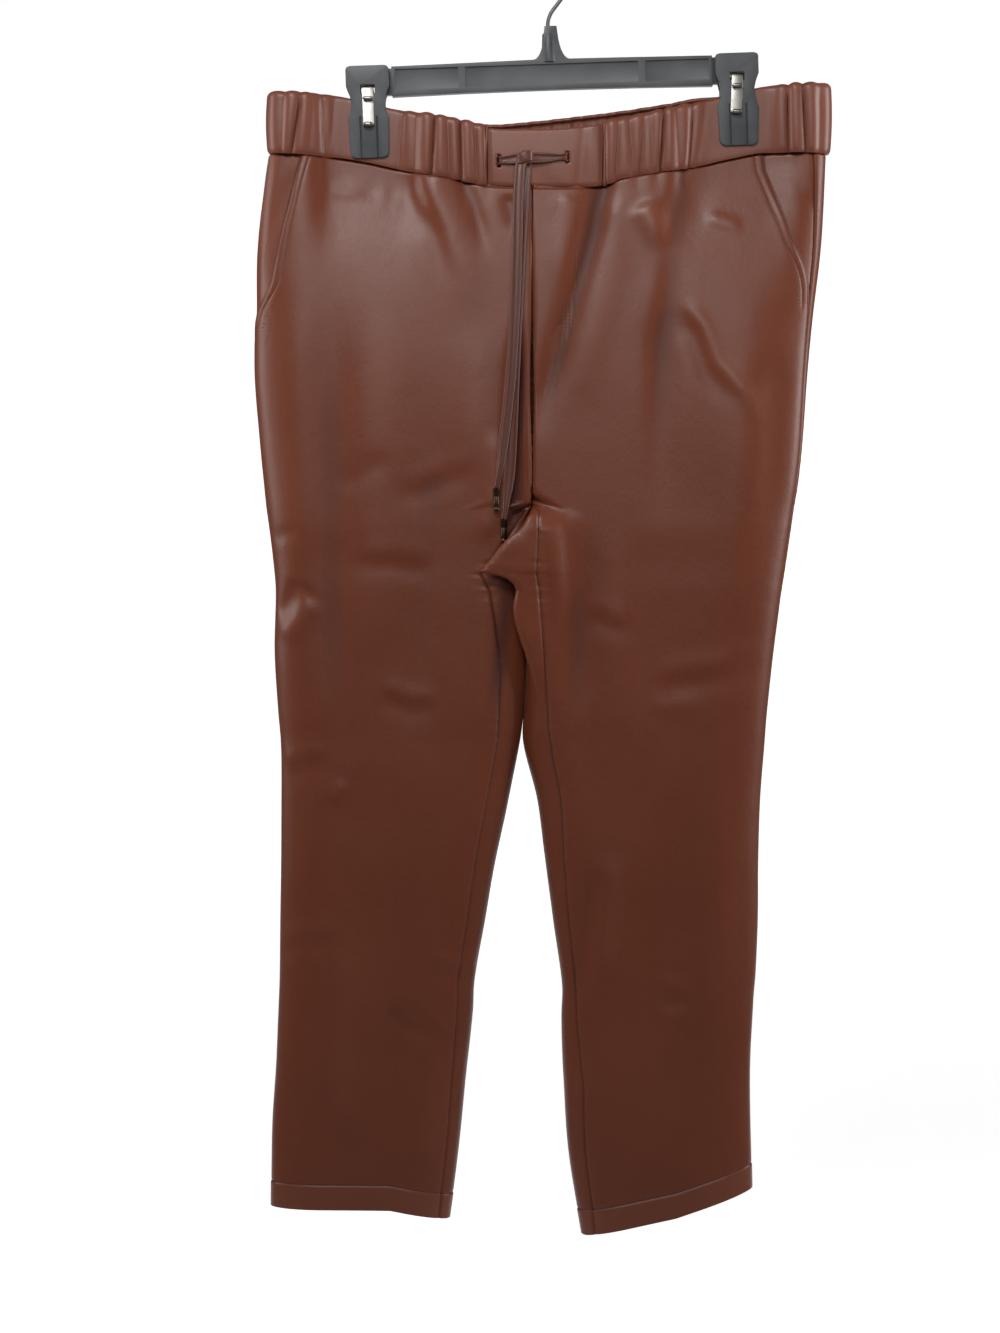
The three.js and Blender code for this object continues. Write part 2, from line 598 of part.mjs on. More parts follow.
// The plain middle of the band, with an upright slit on each side for the tie.
function flatBandPiece() {
  const spots = Array.from({ length: columns.flat + 1 }, (_, j) => {
    return THREE.MathUtils.lerp(flatBand.left + seamGap / 2, flatBand.right - seamGap / 2, j / columns.flat);
  });
  const grid = [0, 0.5, 1].map((share) => spots.map((x) => {
    const side = x < section('mid', levels.waist) ? -1 : 1;
    const ring = outline(side, levels.band);
    return bandPoint(side, 'front', lengthAtX(ring, x, 'front'), share);
  }));
  let band = solid(wall(grid, 1, 0, bandWall));
  for (const [x, z] of [[slit.leftX, slitZ.left], [slit.rightX, slitZ.right]]) {
    const cutter = new THREE.BoxGeometry(slit.width, 20, slit.height).translate(x, -13, z);
    band = band.subtract(solid(cutter));
  }
  return piece('waistband_front', fromSolid(band), 'band');
}

// ---------------------------------------------------------------- tie
// A flat strip along a route: its width stays across the run and faces the front.
function strip(route, width, thick) {
  const curve = new THREE.CatmullRomCurve3(route.map((point) => new THREE.Vector3(...point)));
  const outlineShape = new THREE.Shape();
  for (let k = 0; k < tie.sides; k++) {
    const a = 2 * Math.PI * k / tie.sides;
    const round = (value, size) => Math.sign(value) * Math.abs(value) ** 0.5 * size / 2;
    const x = round(Math.cos(a), width);
    const y = round(Math.sin(a), thick);
    if (k === 0) outlineShape.moveTo(x, y);
    else outlineShape.lineTo(x, y);
  }
  const steps = Math.max(12, Math.round(curve.getLength() / (2 * tie.width)));
  const frames = { steps, bevelEnabled: false, extrudePath: curve };
  return new THREE.ExtrudeGeometry(outlineShape, frames);
}

const bandFace = -section('front', levels.band);

function tieEnds() {
  const group = new THREE.Group();
  const out = [3, -0.6, -2.6, -3, -3.4].map((step) => bandFace + step);
  const beside = knot.width / 2 + 0.8;
  const leftRoute = [[slit.leftX, out[0], slitZ.left], [slit.leftX + 0.2, out[1], slitZ.left],
    [slit.leftX + 3, out[2], slitZ.left], [slit.leftX + 9, out[3], slitZ.left + 0.6],
    [knot.x - beside, out[4], knot.z]];
  const rightRoute = [[slit.rightX, out[0], slitZ.right], [slit.rightX - 0.2, out[1], slitZ.right],
    [slit.rightX - 3, out[2], slitZ.right], [slit.rightX - 13, out[3], slitZ.right - 0.4],
    [knot.x + beside, out[4], knot.z]];
  group.add(piece('tie_from_slit_left', strip(leftRoute, tie.width, tie.wall), 'tie'));
  group.add(piece('tie_from_slit_right', strip(rightRoute, tie.width, tie.wall), 'tie'));
  const lump = new RoundedBoxGeometry(knot.width, knot.depth, knot.height, 2, 2.4);
  lump.translate(knot.x, bandFace - 3.6, knot.z);
  group.add(piece('tie_knot', lump, 'tie'));
  for (const [name, route] of Object.entries(tieRoutes)) {
    group.add(piece(`tie_end_${name}`, strip(route, tie.width, tie.wall), 'tie'));
    const end = new THREE.Vector3(...route[route.length - 1]);
    const cap = new THREE.LatheGeometry([
      new THREE.Vector2(0, -aglet.length), new THREE.Vector2(aglet.radius, -aglet.length),
      new THREE.Vector2(aglet.radius, 0), new THREE.Vector2(0, 0),
    ], 12).rotateX(Math.PI / 2);
    cap.translate(end.x - 0.2, end.y, end.z - seamGap - 0.2);
    group.add(piece(`aglet_${name}`, cap, 'bronze'));
  }
  return group;
}

// ---------------------------------------------------------------- hanger
function extruded(shape, depth) {
  const geometry = new THREE.ExtrudeGeometry(shape, { depth, bevelEnabled: false, curveSegments: 8 });
  return geometry.rotateX(Math.PI / 2).translate(0, depth / 2, 0);
}

// The bar bows up a little towards its neck and thins to a tongue inside each clip.
function bar() {
  const low = hanger.barTop - hanger.barHeight;
  const shape = new THREE.Shape();
  shape.moveTo(-hanger.shoulders, low - hanger.bow);
  shape.quadraticCurveTo(0, low + hanger.bow, hanger.shoulders, low - hanger.bow);
  shape.lineTo(hanger.shoulders, hanger.barTop - hanger.bow);
  shape.quadraticCurveTo(60, hanger.barTop - 0.4, 15, hanger.barTop);
  shape.quadraticCurveTo(7, hanger.barTop + 2, hanger.neckRadius, hanger.neckTop + 6);
  shape.lineTo(-hanger.neckRadius, hanger.neckTop + 6);
  shape.quadraticCurveTo(-7, hanger.barTop + 2, -15, hanger.barTop);
  shape.quadraticCurveTo(-60, hanger.barTop - 0.4, -hanger.shoulders, hanger.barTop - hanger.bow);
  let made = solid(extruded(shape, hanger.depth));
  const across = 2 * hanger.ends;
  const tongue = new THREE.BoxGeometry(across, hanger.tongue, hanger.barHeight - 3);
  made = made.add(solid(tongue.translate(0, 0, low + hanger.barHeight / 2 - hanger.bow)));
  for (const face of [-1, 1]) {
    for (const middle of [-107, 0, 107]) {
      const length = middle ? 54 : 2 * hanger.rib - 6;
      const well = new THREE.BoxGeometry(length, 3, hanger.barHeight - 8);
      well.translate(middle, face * hanger.depth / 2, hanger.barTop - hanger.barHeight / 2);
      made = made.subtract(solid(well));
    }
  }
  const neck = new THREE.CylinderGeometry(hanger.neckRadius, hanger.neckRadius + 1.6, 24, 20);
  neck.rotateX(Math.PI / 2).translate(hook.stemX, 0, hanger.neckTop - 12);
  made = made.add(solid(neck));
  const bore = new THREE.CylinderGeometry(hook.wire / 2 + seamGap, hook.wire / 2 + seamGap, 30, 16);
  bore.rotateX(Math.PI / 2).translate(hook.stemX, 0, hanger.neckTop);
  made = made.subtract(solid(bore));
  return piece('hanger_bar', fromSolid(made), 'plastic');
}

// The wire stands in the neck, leans out, and turns over the rail in a round hook.
function hangerHook() {
  const radius = hook.inner + hook.wire / 2;
  const centre = new THREE.Vector2(0, -hook.inner);
  const lean = (90 - hook.slope) * Math.PI / 180;
  const join = new THREE.Vector3(radius * Math.cos(-lean), 0, centre.y + radius * Math.sin(-lean));
  const foot = new THREE.Vector3(hook.stemX, 0, hanger.neckTop - 14.6);
  const bend = new THREE.Vector3(hook.stemX, 0, hook.bendZ);
  const points = [foot, foot.clone().lerp(bend, 0.5), bend.clone().add(new THREE.Vector3(0, 0, -4))];
  points.push(bend.clone().lerp(join, 0.18), bend.clone().lerp(join, 0.5));
  const arcSteps = 16;
  for (let k = 0; k <= arcSteps; k++) {
    const a = -lean + (Math.PI + lean + 0.25) * k / arcSteps;
    points.push(new THREE.Vector3(radius * Math.cos(a), 0, centre.y + radius * Math.sin(a)));
  }
  const route = new THREE.CatmullRomCurve3(points, false, 'centripetal');
  const ring = new THREE.Shape().absarc(0, 0, hook.wire / 2, 0, 2 * Math.PI);
  const wire = new THREE.ExtrudeGeometry(ring, {
    steps: 34, bevelEnabled: false, curveSegments: 4, extrudePath: route,
  });
  return piece('hanger_hook', wire, 'steel');
}

// One jaw of a clip, seen from the front: a wide head, a waist and a gripping foot.
function jawShape() {
  const shape = new THREE.Shape();
  shape.moveTo(-jaw.half, jaw.top - 3);
  shape.quadraticCurveTo(-jaw.half, jaw.top, -jaw.half + 4, jaw.top + 0.6);
  shape.lineTo(jaw.half - 4, jaw.top + 0.6);
  shape.quadraticCurveTo(jaw.half, jaw.top, jaw.half, jaw.top - 3);
  shape.lineTo(jaw.half, jaw.top - 17);
  shape.quadraticCurveTo(jaw.half - 4, jaw.top - 26, jaw.half - 4, jaw.top - 31);
  shape.quadraticCurveTo(jaw.half - 4, jaw.top - 38, jaw.half - 1, jaw.top - 44);
  shape.lineTo(jaw.half - 2, jaw.bottom + 5);
  shape.quadraticCurveTo(jaw.half - 3, jaw.bottom, jaw.half - 8, jaw.bottom);
  shape.lineTo(-jaw.half + 8, jaw.bottom);
  shape.quadraticCurveTo(-jaw.half + 3, jaw.bottom, -jaw.half + 2, jaw.bottom + 5);
  shape.lineTo(-jaw.half + 1, jaw.top - 44);
  shape.quadraticCurveTo(-jaw.half + 4, jaw.top - 38, -jaw.half + 4, jaw.top - 31);
  shape.quadraticCurveTo(-jaw.half + 4, jaw.top - 26, -jaw.half, jaw.top - 17);
  shape.closePath();
  return shape;
}

// The window of the jaw that the spring passes through, and its grooves.
function clipJaw(side, face) {
  let made = solid(extruded(jawShape(), jaw.wall));
  const window = new THREE.BoxGeometry(spring.width + 2.6, jaw.wall * 3, 7);
  made = made.subtract(solid(window.translate(0, 0, spring.top + 1)));
  for (const x of [-7, 7]) {
    const groove = new THREE.BoxGeometry(1.2, 1.6, 40);
    groove.translate(x, face * jaw.wall / 2, jaw.bottom + 15);
    made = made.subtract(solid(groove));
  }
  const geometry = fromSolid(made).translate(0, face * (clamp.half + seamGap + jaw.wall / 2), 0);
  geometry.translate(side * clamp.x, 0, 0);
  const place = face < 0 ? 'front' : 'back';
  return piece(`clip_${sideName(side)}_${place}`, geometry, 'plastic');
}

// The shape of a strip of even thickness that follows a line of points.
function stripShape(line, thick) {
  const points = line.map(([x, y]) => new THREE.Vector2(x, y));
  const edges = [[], []];
  points.forEach((point, k) => {
    const run = points[Math.min(k + 1, points.length - 1)].clone().sub(points[Math.max(k - 1, 0)]);
    const across = new THREE.Vector2(-run.y, run.x).normalize().multiplyScalar(thick / 2);
    edges[0].push(point.clone().add(across));
    edges[1].unshift(point.clone().sub(across));
  });
  return new THREE.Shape([...edges[0], ...edges[1]]);
}

// The spring is a strip bent to a U: it passes both windows, lies on both jaws and ends
// in curled lips.
function clipSpring(side) {
  const out = clamp.half + 2 * seamGap + jaw.wall + spring.wall / 2;
  const { top, bottom } = spring;
  const arm = [[out - 3, top + 3], [out - 0.8, top + 2.2], [out, top], [out, bottom + 4],
    [out + 0.5, bottom + 1.6], [out + 1.8, bottom + 0.4], [out + 3.2, bottom + 0.8]];
  const line = [...arm.map(([y, z]) => [-y, z]).reverse(), ...arm];
  const geometry = new THREE.ExtrudeGeometry(stripShape(line, spring.wall), {
    depth: spring.width, bevelEnabled: false,
  });
  geometry.translate(0, -top, -spring.width / 2);
  geometry.rotateX(Math.PI / 2).rotateZ(Math.PI / 2);
  geometry.rotateY(side < 0 ? 0 : THREE.MathUtils.degToRad(spring.lean));
  geometry.translate(side * clamp.x, 0, top);
  return piece(`clip_spring_${sideName(side)}`, geometry, 'steel');
}

function clipHanger() {
  const body = new THREE.Group();
  body.position.z = hook.inner;
  body.add(bar(), hangerHook());
  for (const side of [-1, 1]) {
    body.add(clipJaw(side, -1), clipJaw(side, 1), clipSpring(side));
  }
  const tilted = new THREE.Group();
  tilted.position.z = -hook.inner;
  tilted.rotation.y = THREE.MathUtils.degToRad(-hanger.tilt);
  tilted.add(body);
  return tilted;
}

// ---------------------------------------------------------------- the whole
function trousers() {
  const group = new THREE.Group();
  for (const side of [-1, 1]) {
    const front = frontPanel(side);
    group.add(front, backPanel(side), pocketBearer(side));
    if (side > 0) group.add(mockFly(front));
  }
  group.add(elasticBand(), flatBandPiece(), tieEnds());
  return group;
}

const whole = new THREE.Group();
whole.add(trousers(), clipHanger());

export default whole;
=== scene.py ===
# Faux leather pull-on trousers, hung by the waistband from a plastic clip hanger.
import math
import random

import bmesh
import bpy
import numpy as np
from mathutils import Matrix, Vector
from mathutils.bvhtree import BVHTree


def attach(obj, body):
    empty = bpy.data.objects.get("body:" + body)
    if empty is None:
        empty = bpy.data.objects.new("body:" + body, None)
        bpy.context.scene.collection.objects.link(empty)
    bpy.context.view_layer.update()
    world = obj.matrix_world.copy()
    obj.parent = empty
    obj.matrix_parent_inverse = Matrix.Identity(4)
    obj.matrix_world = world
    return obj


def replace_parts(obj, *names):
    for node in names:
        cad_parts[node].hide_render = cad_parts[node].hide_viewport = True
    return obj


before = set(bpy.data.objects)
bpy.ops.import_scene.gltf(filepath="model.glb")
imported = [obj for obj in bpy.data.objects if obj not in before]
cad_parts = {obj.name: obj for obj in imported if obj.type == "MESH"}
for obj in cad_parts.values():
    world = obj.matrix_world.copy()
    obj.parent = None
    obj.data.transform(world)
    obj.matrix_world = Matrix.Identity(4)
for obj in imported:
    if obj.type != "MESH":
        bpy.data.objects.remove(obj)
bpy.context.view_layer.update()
scene = bpy.context.scene
mm = 0.001  # the tables are in millimetres, the scene in metres

# ---- camera
view = {"across": -0.0416, "height": -0.606, "distance": 2.2, "rise": 3.0, "lens": 68.6}
eye = bpy.data.objects.new("camera", bpy.data.cameras.new("camera"))
rise = math.radians(view["rise"])
eye.location = (view["across"], -view["distance"] * math.cos(rise),
                view["height"] + view["distance"] * math.sin(rise))
eye.rotation_euler = (math.pi / 2 - rise, 0, 0)
eye.data.lens = view["lens"]
scene.collection.objects.link(eye)
scene.camera = eye


# ---- shader maths
class Wire:
    def __init__(self, finish, socket):
        self.finish, self.socket = finish, socket

    def __add__(self, other):
        return self.finish.maths("ADD", self, other)

    def __sub__(self, other):
        return self.finish.maths("SUBTRACT", self, other)

    def __rsub__(self, other):
        return self.finish.maths("SUBTRACT", other, self)

    def __mul__(self, other):
        return self.finish.maths("MULTIPLY", self, other)

    __radd__, __rmul__ = __add__, __mul__


class Finish:
    def __init__(self, name, **plain):
        self.material = bpy.data.materials.new(name)
        self.material.use_nodes = True
        self.tree = self.material.node_tree
        self.shader = self.tree.nodes["Principled BSDF"]
        for key, value in plain.items():
            self.shader.inputs[key.replace("_", " ")].default_value = value

    def node(self, kind, settings=None, output=0, **inputs):
        made = self.tree.nodes.new(kind)
        for key, value in (settings or {}).items():
            if key == "stops":
                for stop, (place, tone) in zip(self.stopsOf(made, len(value)), value):
                    stop.position, stop.color = place, tone
            else:
                setattr(made, key, value)
        for key, value in inputs.items():
            self.join(value, made.inputs[int(key[1:]) if key[1:].isdigit() else key.replace("_", " ")])
        return Wire(self, made.outputs[output])

    def stopsOf(self, ramp, count):
        stops = ramp.color_ramp.elements
        while len(stops) < count:
            stops.new(0.5)
        return stops

    def join(self, value, socket):
        if isinstance(value, Wire):
            self.tree.links.new(value.socket, socket)
        else:
            socket.default_value = value

    def maths(self, operation, a, b):
        return self.node("ShaderNodeMath", {"operation": operation}, i0=a, i1=b)

    def clamp(self, value, low, high):
        return self.node("ShaderNodeMapRange", {"clamp": True}, Value=value, From_Min=low, From_Max=high)

    def place(self, stretch=(1, 1, 1), turn=(0, 0, 0)):
        coords = self.node("ShaderNodeTexCoord", output="Object")
        return self.node("ShaderNodeMapping", Vector=coords, Scale=stretch, Rotation=turn)

    def noise(self, scale, detail=2.0, rough=0.5, where=None, twist=0.0):
        return self.node("ShaderNodeTexNoise", output="Fac", Vector=where or self.place(),
                         Scale=scale, Detail=detail, Roughness=rough, Distortion=twist)

    def blend(self, share, a, b, way="MIX"):
        return self.node("ShaderNodeMix", {"data_type": "RGBA", "blend_type": way}, output=2, i0=share, i6=a,
                         i7=b)

    def bump(self, height, distance, over=None):
        inputs = {"Height": height, "Distance": distance, "Strength": 1.0}
        if over:
            inputs["Normal"] = over
        return self.node("ShaderNodeBump", **inputs)

    def feed(self, **sockets):
        for key, value in sockets.items():
            self.join(value, self.shader.inputs[key.replace("_", " ")])
        return self.material


leatherLook = {
    "grain": 1250, "grainDepth": 0.00005, "wrinkle": 150, "wrinkleDepth": 0.00016,
    "crumple": 34, "crumpleDepth": 0.0005, "patch": 7.5,
}


# One faux leather in several shades: fine pebbled grain, faint wrinkles, cloudy colour,
# painted shade in the troughs of folds and of the fine wrinkles, and a painted highlight
# in the pale colour where a fold stands up.
def leather(name, shade, deep, pale, rough=0.43, crumpled=1.0):
    finish = Finish(name, Sheen_Weight=0.07, Sheen_Roughness=0.35, Sheen_Tint=(0.95, 0.76, 0.74, 1),
                    Coat_Roughness=0.3, Specular_IOR_Level=0.42)
    look = leatherLook
    cloud = finish.noise(look["patch"], 3, 0.55, twist=0.6)
    grain = finish.node("ShaderNodeTexVoronoi", {"feature": "SMOOTH_F1"}, Vector=finish.place(),
                        Scale=look["grain"])
    wrinkle = finish.noise(look["wrinkle"], 4, 0.6, twist=0.8)
    crumple = finish.noise(look["crumple"], 3, 0.5, finish.place((1, 1, 0.6)), 0.7)
    crease = finish.node("ShaderNodeAttribute", {"attribute_name": "crease"}, output="Fac")
    # Painted shade: the troughs of the crease value darken the colour.
    sunk = finish.clamp(crease, -1.9, -6.0)
    # Painted highlight: where the crease value stands up the colour turns paler.
    ridgeHighlight = finish.clamp(crease, 0.8, 4.2)
    tone = finish.blend(finish.clamp(cloud, 0.3, 0.7) * 0.5 + 0.5, deep, shade)
    tone = finish.blend(ridgeHighlight * 0.4, tone, pale)
    tone = finish.blend(sunk * 0.75, tone, (deep[0] * 0.3, deep[1] * 0.22, deep[2] * 0.2, 1))
    # Faint painted shade in the troughs of the fine wrinkles.
    tone = finish.blend(finish.clamp(wrinkle, 0.5, 0.3) * 0.16, tone, deep)
    roughness = rough + (cloud - 0.5) * 0.1 + (wrinkle - 0.5) * 0.08 + sunk * 0.3
    normal = finish.bump(crumple, look["crumpleDepth"] * crumpled)
    normal = finish.bump(wrinkle, look["wrinkleDepth"], normal)
    normal = finish.bump(grain, look["grainDepth"], normal)
    return finish.feed(Base_Color=tone, Roughness=roughness, Normal=normal, Coat_Weight=0.12 + ridgeHighlight * 0.1)


# Each leather: its colour, a darker one for the cloudy tone and the painted shade, and a paler one for the
# painted highlight.
panelLeather = leather("brick brown leather", (0.190, 0.045, 0.018, 1), (0.150, 0.034, 0.013, 1),
                       (0.27, 0.09, 0.052, 1))
bandLeather = leather("gathered band leather", (0.235, 0.076, 0.046, 1), (0.18, 0.054, 0.032, 1),
                      (0.33, 0.14, 0.10, 1), 0.4, 0.6)
tieLeather = leather("tie leather", (0.135, 0.040, 0.024, 1), (0.09, 0.024, 0.013, 1), (0.22, 0.08, 0.055, 1),
                     0.4, 0.25)


def threadFinish():
    finish = Finish("polyester thread", Sheen_Weight=0.1)
    twist = finish.node("ShaderNodeTexWave", {"wave_type": "BANDS"}, Vector=finish.place(turn=(0, 0.7, 0)),
                        Scale=900.0)
    return finish.feed(Base_Color=finish.blend(twist, (0.10, 0.026, 0.014, 1), (0.165, 0.05, 0.03, 1)),
                       Roughness=0.5 + twist * 0.1, Normal=finish.bump(twist, 0.00006))


def plasticFinish():
    finish = Finish("black moulded plastic", Coat_Weight=0.25, Coat_Roughness=0.35)
    mottle = finish.noise(420, 3, 0.6)
    haze = finish.noise(16, 3, 0.6)
    scuff = finish.noise(90, 4, 0.65, finish.place((0.25, 1, 1)), 0.4)
    tone = finish.blend(finish.clamp(haze, 0.35, 0.7), (0.046, 0.049, 0.054, 1), (0.09, 0.097, 0.105, 1))
    tone = finish.blend(finish.clamp(scuff, 0.62, 0.78) * 0.3, tone, (0.09, 0.093, 0.1, 1))
    return finish.feed(Base_Color=tone, Roughness=0.38 + haze * 0.16 + scuff * 0.06,
                       Normal=finish.bump(mottle, 0.00005, finish.bump(scuff, 0.00008)))


def steelFinish(name, shade, rough, stretch):
    finish = Finish(name)
    drawn = finish.noise(700, 3, 0.6, finish.place(stretch))
    stain = finish.noise(60, 3, 0.6)
    tone = finish.blend(finish.clamp(stain, 0.4, 0.75), shade, tuple(0.7 * part for part in shade[:3]) + (1,))
    return finish.feed(Base_Color=tone, Metallic=1.0 - stain * 0.04,
                       Roughness=rough + drawn * 0.14 + stain * 0.06,
                       Normal=finish.bump(drawn, 0.00004))


thread = threadFinish()
plastic = plasticFinish()
wireSteel = steelFinish("drawn steel wire", (0.13, 0.13, 0.135, 1), 0.3, (1, 1, 0.08))
springSteel = steelFinish("bright plated spring", (0.36, 0.35, 0.32, 1), 0.26, (1, 1, 0.15))
bronze = steelFinish("antiqued bronze", (0.075, 0.045, 0.03, 1), 0.3, (1, 1, 0.2))
print("stage: camera and finishes")


# ---- meshes from grids
# A grid whose vertices are moved to an array of points, rows by columns, in millimetres.
def gridMesh(points, turned=False, crease=None, loop=False, caps=False, doubles=0.0):
    rows, columns = points.shape[:2]
    bm = bmesh.new()
    bmesh.ops.create_grid(bm, x_segments=columns - 1, y_segments=rows - 1, size=0.5)
    # The crease value drives painted shade in troughs and a painted highlight on ridges in the leather
    # finishes.
    layer = bm.verts.layers.float.new("crease")
    for vert in bm.verts:
        j = round((vert.co.x + 0.5) * (columns - 1))
        i = round((vert.co.y + 0.5) * (rows - 1))
        vert.co = Vector(points[i, j]) * mm
        if crease is not None:
            vert[layer] = float(crease[i, j])
    if turned:
        bmesh.ops.reverse_faces(bm, faces=bm.faces)
    if loop or doubles:
        bmesh.ops.remove_doubles(bm, verts=bm.verts, dist=doubles or 1e-6)
    if caps:
        bmesh.ops.holes_fill(bm, edges=bm.edges, sides=0)
        bmesh.ops.recalc_face_normals(bm, faces=bm.faces)
    return bm


def finished(name, bm, material, body="root", smooth=True, flat=None):
    mesh = bpy.data.meshes.new(name)
    bm.to_mesh(mesh)
    bm.free()
    piece = bpy.data.objects.new(name, mesh)
    scene.collection.objects.link(piece)
    mesh.materials.append(material)
    mesh.shade_smooth() if smooth else mesh.shade_flat()
    if flat:
        mesh.set_sharp_from_angle(angle=math.radians(flat))
    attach(piece, body)
    return piece


def thicken(piece, thick, offset=-1.0):
    shell = piece.modifiers.new("wall", "SOLIDIFY")
    shell.thickness = thick * mm
    shell.offset = offset
    shell.use_even_offset = False
    return piece


def ease(low, high, value):
    t = np.clip((value - low) / (high - low), 0, 1)
    return t * t * (3 - 2 * t)


def catmull(points, steps):
    points = [np.array(point, float) for point in points]
    padded = [2 * points[0] - points[1], *points, 2 * points[-1] - points[-2]]
    out = []
    for k in range(1, len(padded) - 2):
        before, start, end, after = padded[k - 1:k + 3]
        for t in np.linspace(0, 1, steps, endpoint=False):
            out.append(0.5 * (2 * start + (end - before) * t
                              + (2 * before - 5 * start + 4 * end - after) * t ** 2
                              + (3 * start - before - 3 * end + after) * t ** 3))
    return np.array(out + [points[-1]])


# A tube of any cross-section along a path. The section is (side, front) pairs, front
# facing the viewer; scale and turn may change along the path.
def tubePoints(path, section, facing=(0, -1, 0), scale=None, turn=None):
    tangent = np.gradient(path, axis=0)
    tangent /= np.linalg.norm(tangent, axis=1)[:, None]
    flat = tangent - np.outer(tangent @ np.array(facing, float), facing)
    side = np.cross(flat, facing)
    side /= np.maximum(np.linalg.norm(side, axis=1), 1e-9)[:, None]
    front = np.cross(side, tangent)
    front /= np.linalg.norm(front, axis=1)[:, None]
    rows = []
    for k, centre in enumerate(path):
        angle = turn(k / (len(path) - 1)) if turn else 0.0
        across = side[k] * math.cos(angle) + front[k] * math.sin(angle)
        out = front[k] * math.cos(angle) - side[k] * math.sin(angle)
        wide, deep = scale(k / (len(path) - 1)) if scale else (1, 1)
        rows.append([centre + across * s * wide + out * f * deep for s, f in section])
    return np.array(rows)


def ovalSection(wide, deep, count, squareness=0.5):
    angles = np.linspace(0, 2 * math.pi, count + 1)
    power = lambda value: np.sign(value) * abs(value) ** squareness
    return [(power(math.cos(a)) * wide / 2, power(math.sin(a)) * deep / 2) for a in angles]


# ---- the tie: two flat strips out of the slits, through the knot and down to their aglets
bandFront = -0.0132
tie = {
    "width": 0.009, "wall": 2.3, "sides": 32, "steps": 6,
    "long": [
        (-0.0424, bandFront + 0.003, -0.1736), (-0.0422, bandFront - 0.0006, -0.1736),
        (-0.0394, bandFront - 0.0026, -0.1736),
        (-0.0334, bandFront - 0.003, -0.1730), (-0.0270, bandFront - 0.0032, -0.1722),
        (-0.0222, -0.0168, -0.1728),
        (-0.0199, -0.0164, -0.1755), (-0.0194, -0.0152, -0.1785), (-0.0200, -0.0164, -0.1860),
        (-0.0212, -0.0184, -0.2020),
        (-0.0225, -0.0206, -0.2240), (-0.0240, -0.0229, -0.2500), (-0.0255, -0.0248, -0.2800),
        (-0.0270, -0.0263, -0.3100),
        (-0.0284, -0.0274, -0.3400), (-0.0298, -0.0282, -0.3700), (-0.0310, -0.0286, -0.4000),
        (-0.0322, -0.0288, -0.4250),
        (-0.0340, -0.0289, -0.4450), (-0.0366, -0.0295, -0.4630), (-0.0382, -0.0302, -0.4785)],
    "short": [
        (0.0156, bandFront + 0.003, -0.1710), (0.0154, bandFront - 0.0006, -0.1710),
        (0.0126, bandFront - 0.0026, -0.1710),
        (0.0026, bandFront - 0.003, -0.1714), (-0.0080, bandFront - 0.0034, -0.1718),
        (-0.0170, -0.0178, -0.1722),
        (-0.0222, -0.0184, -0.1742), (-0.0242, -0.0186, -0.1785), (-0.0250, -0.0200, -0.1870),
        (-0.0260, -0.0218, -0.2030),
        (-0.0266, -0.0240, -0.2250), (-0.0272, -0.0262, -0.2500), (-0.0282, -0.0281, -0.2800),
        (-0.0296, -0.0296, -0.3100),
        (-0.0314, -0.0307, -0.3400), (-0.0340, -0.0314, -0.3720), (-0.0374, -0.0317, -0.4020),
        (-0.0410, -0.0318, -0.4300),
        (-0.0444, -0.0316, -0.4520)],
    "twist": {"long": (0.30, 2.2), "short": (-0.24, 1.7)},
    # where a strip is squeezed by the knot: share of its length, spread and amount
    "gathered": {"long": (0.09, 0.05, 0.3), "short": (0.125, 0.05, 0.42)},
}
aglet = {"radius": 2.7, "length": 19.0, "rim": 0.35}
knot = {"x": -20.5, "y": -17.0, "z": -172.0, "across": 6.0, "deep": 3.6, "height": 9.0, "wall": 1.7,
        "tilt": 1.3}


# Rolled edges and a sunken middle, as on a strip folded from both sides and stitched.
def stripSection(wide, deep, count):
    section = []
    for side, front in ovalSection(wide, deep, count, 0.55):
        edge = abs(side) / (wide / 2)
        section.append((side, front * (0.3 + 0.7 * float(ease(0.35, 0.75, edge)))))
    return section


def tieStrip(name):
    path = catmull(tie[name], tie["steps"])
    swing, waves = tie["twist"][name]
    turn = lambda t: swing * math.sin(waves * math.pi * t) * min(1, 4 * max(t - 0.15, 0))
    gathered = tie["gathered"][name]
    def narrow(t):
        pinched = float(ease(0.9, 1.0, t))
        waisted = math.exp(-((t - gathered[0]) / gathered[1]) ** 2)
        return (1 - 0.5 * pinched - gathered[2] * waisted, 1 + 0.6 * pinched + 0.5 * gathered[2] * waisted)
    section = stripSection(tie["width"] / mm, tie["wall"], tie["sides"])
    points = tubePoints(path / mm, section, scale=narrow, turn=turn)
    edge = np.array([abs(side) for side, _ in section]) * 2 * mm / tie["width"]
    # Painted shade in a line inside each edge and a painted highlight on the rolled edges.
    lines = -5.0 * np.exp(-((edge - 0.5) / 0.16) ** 2) + 3.0 * ease(0.7, 0.95, edge)
    crease = np.tile(lines, (len(points), 1))
    piece = finished("tie_strip_" + name, gridMesh(points, crease=crease, loop=True, caps=True), tieLeather,
                     flat=60)
    return piece, path


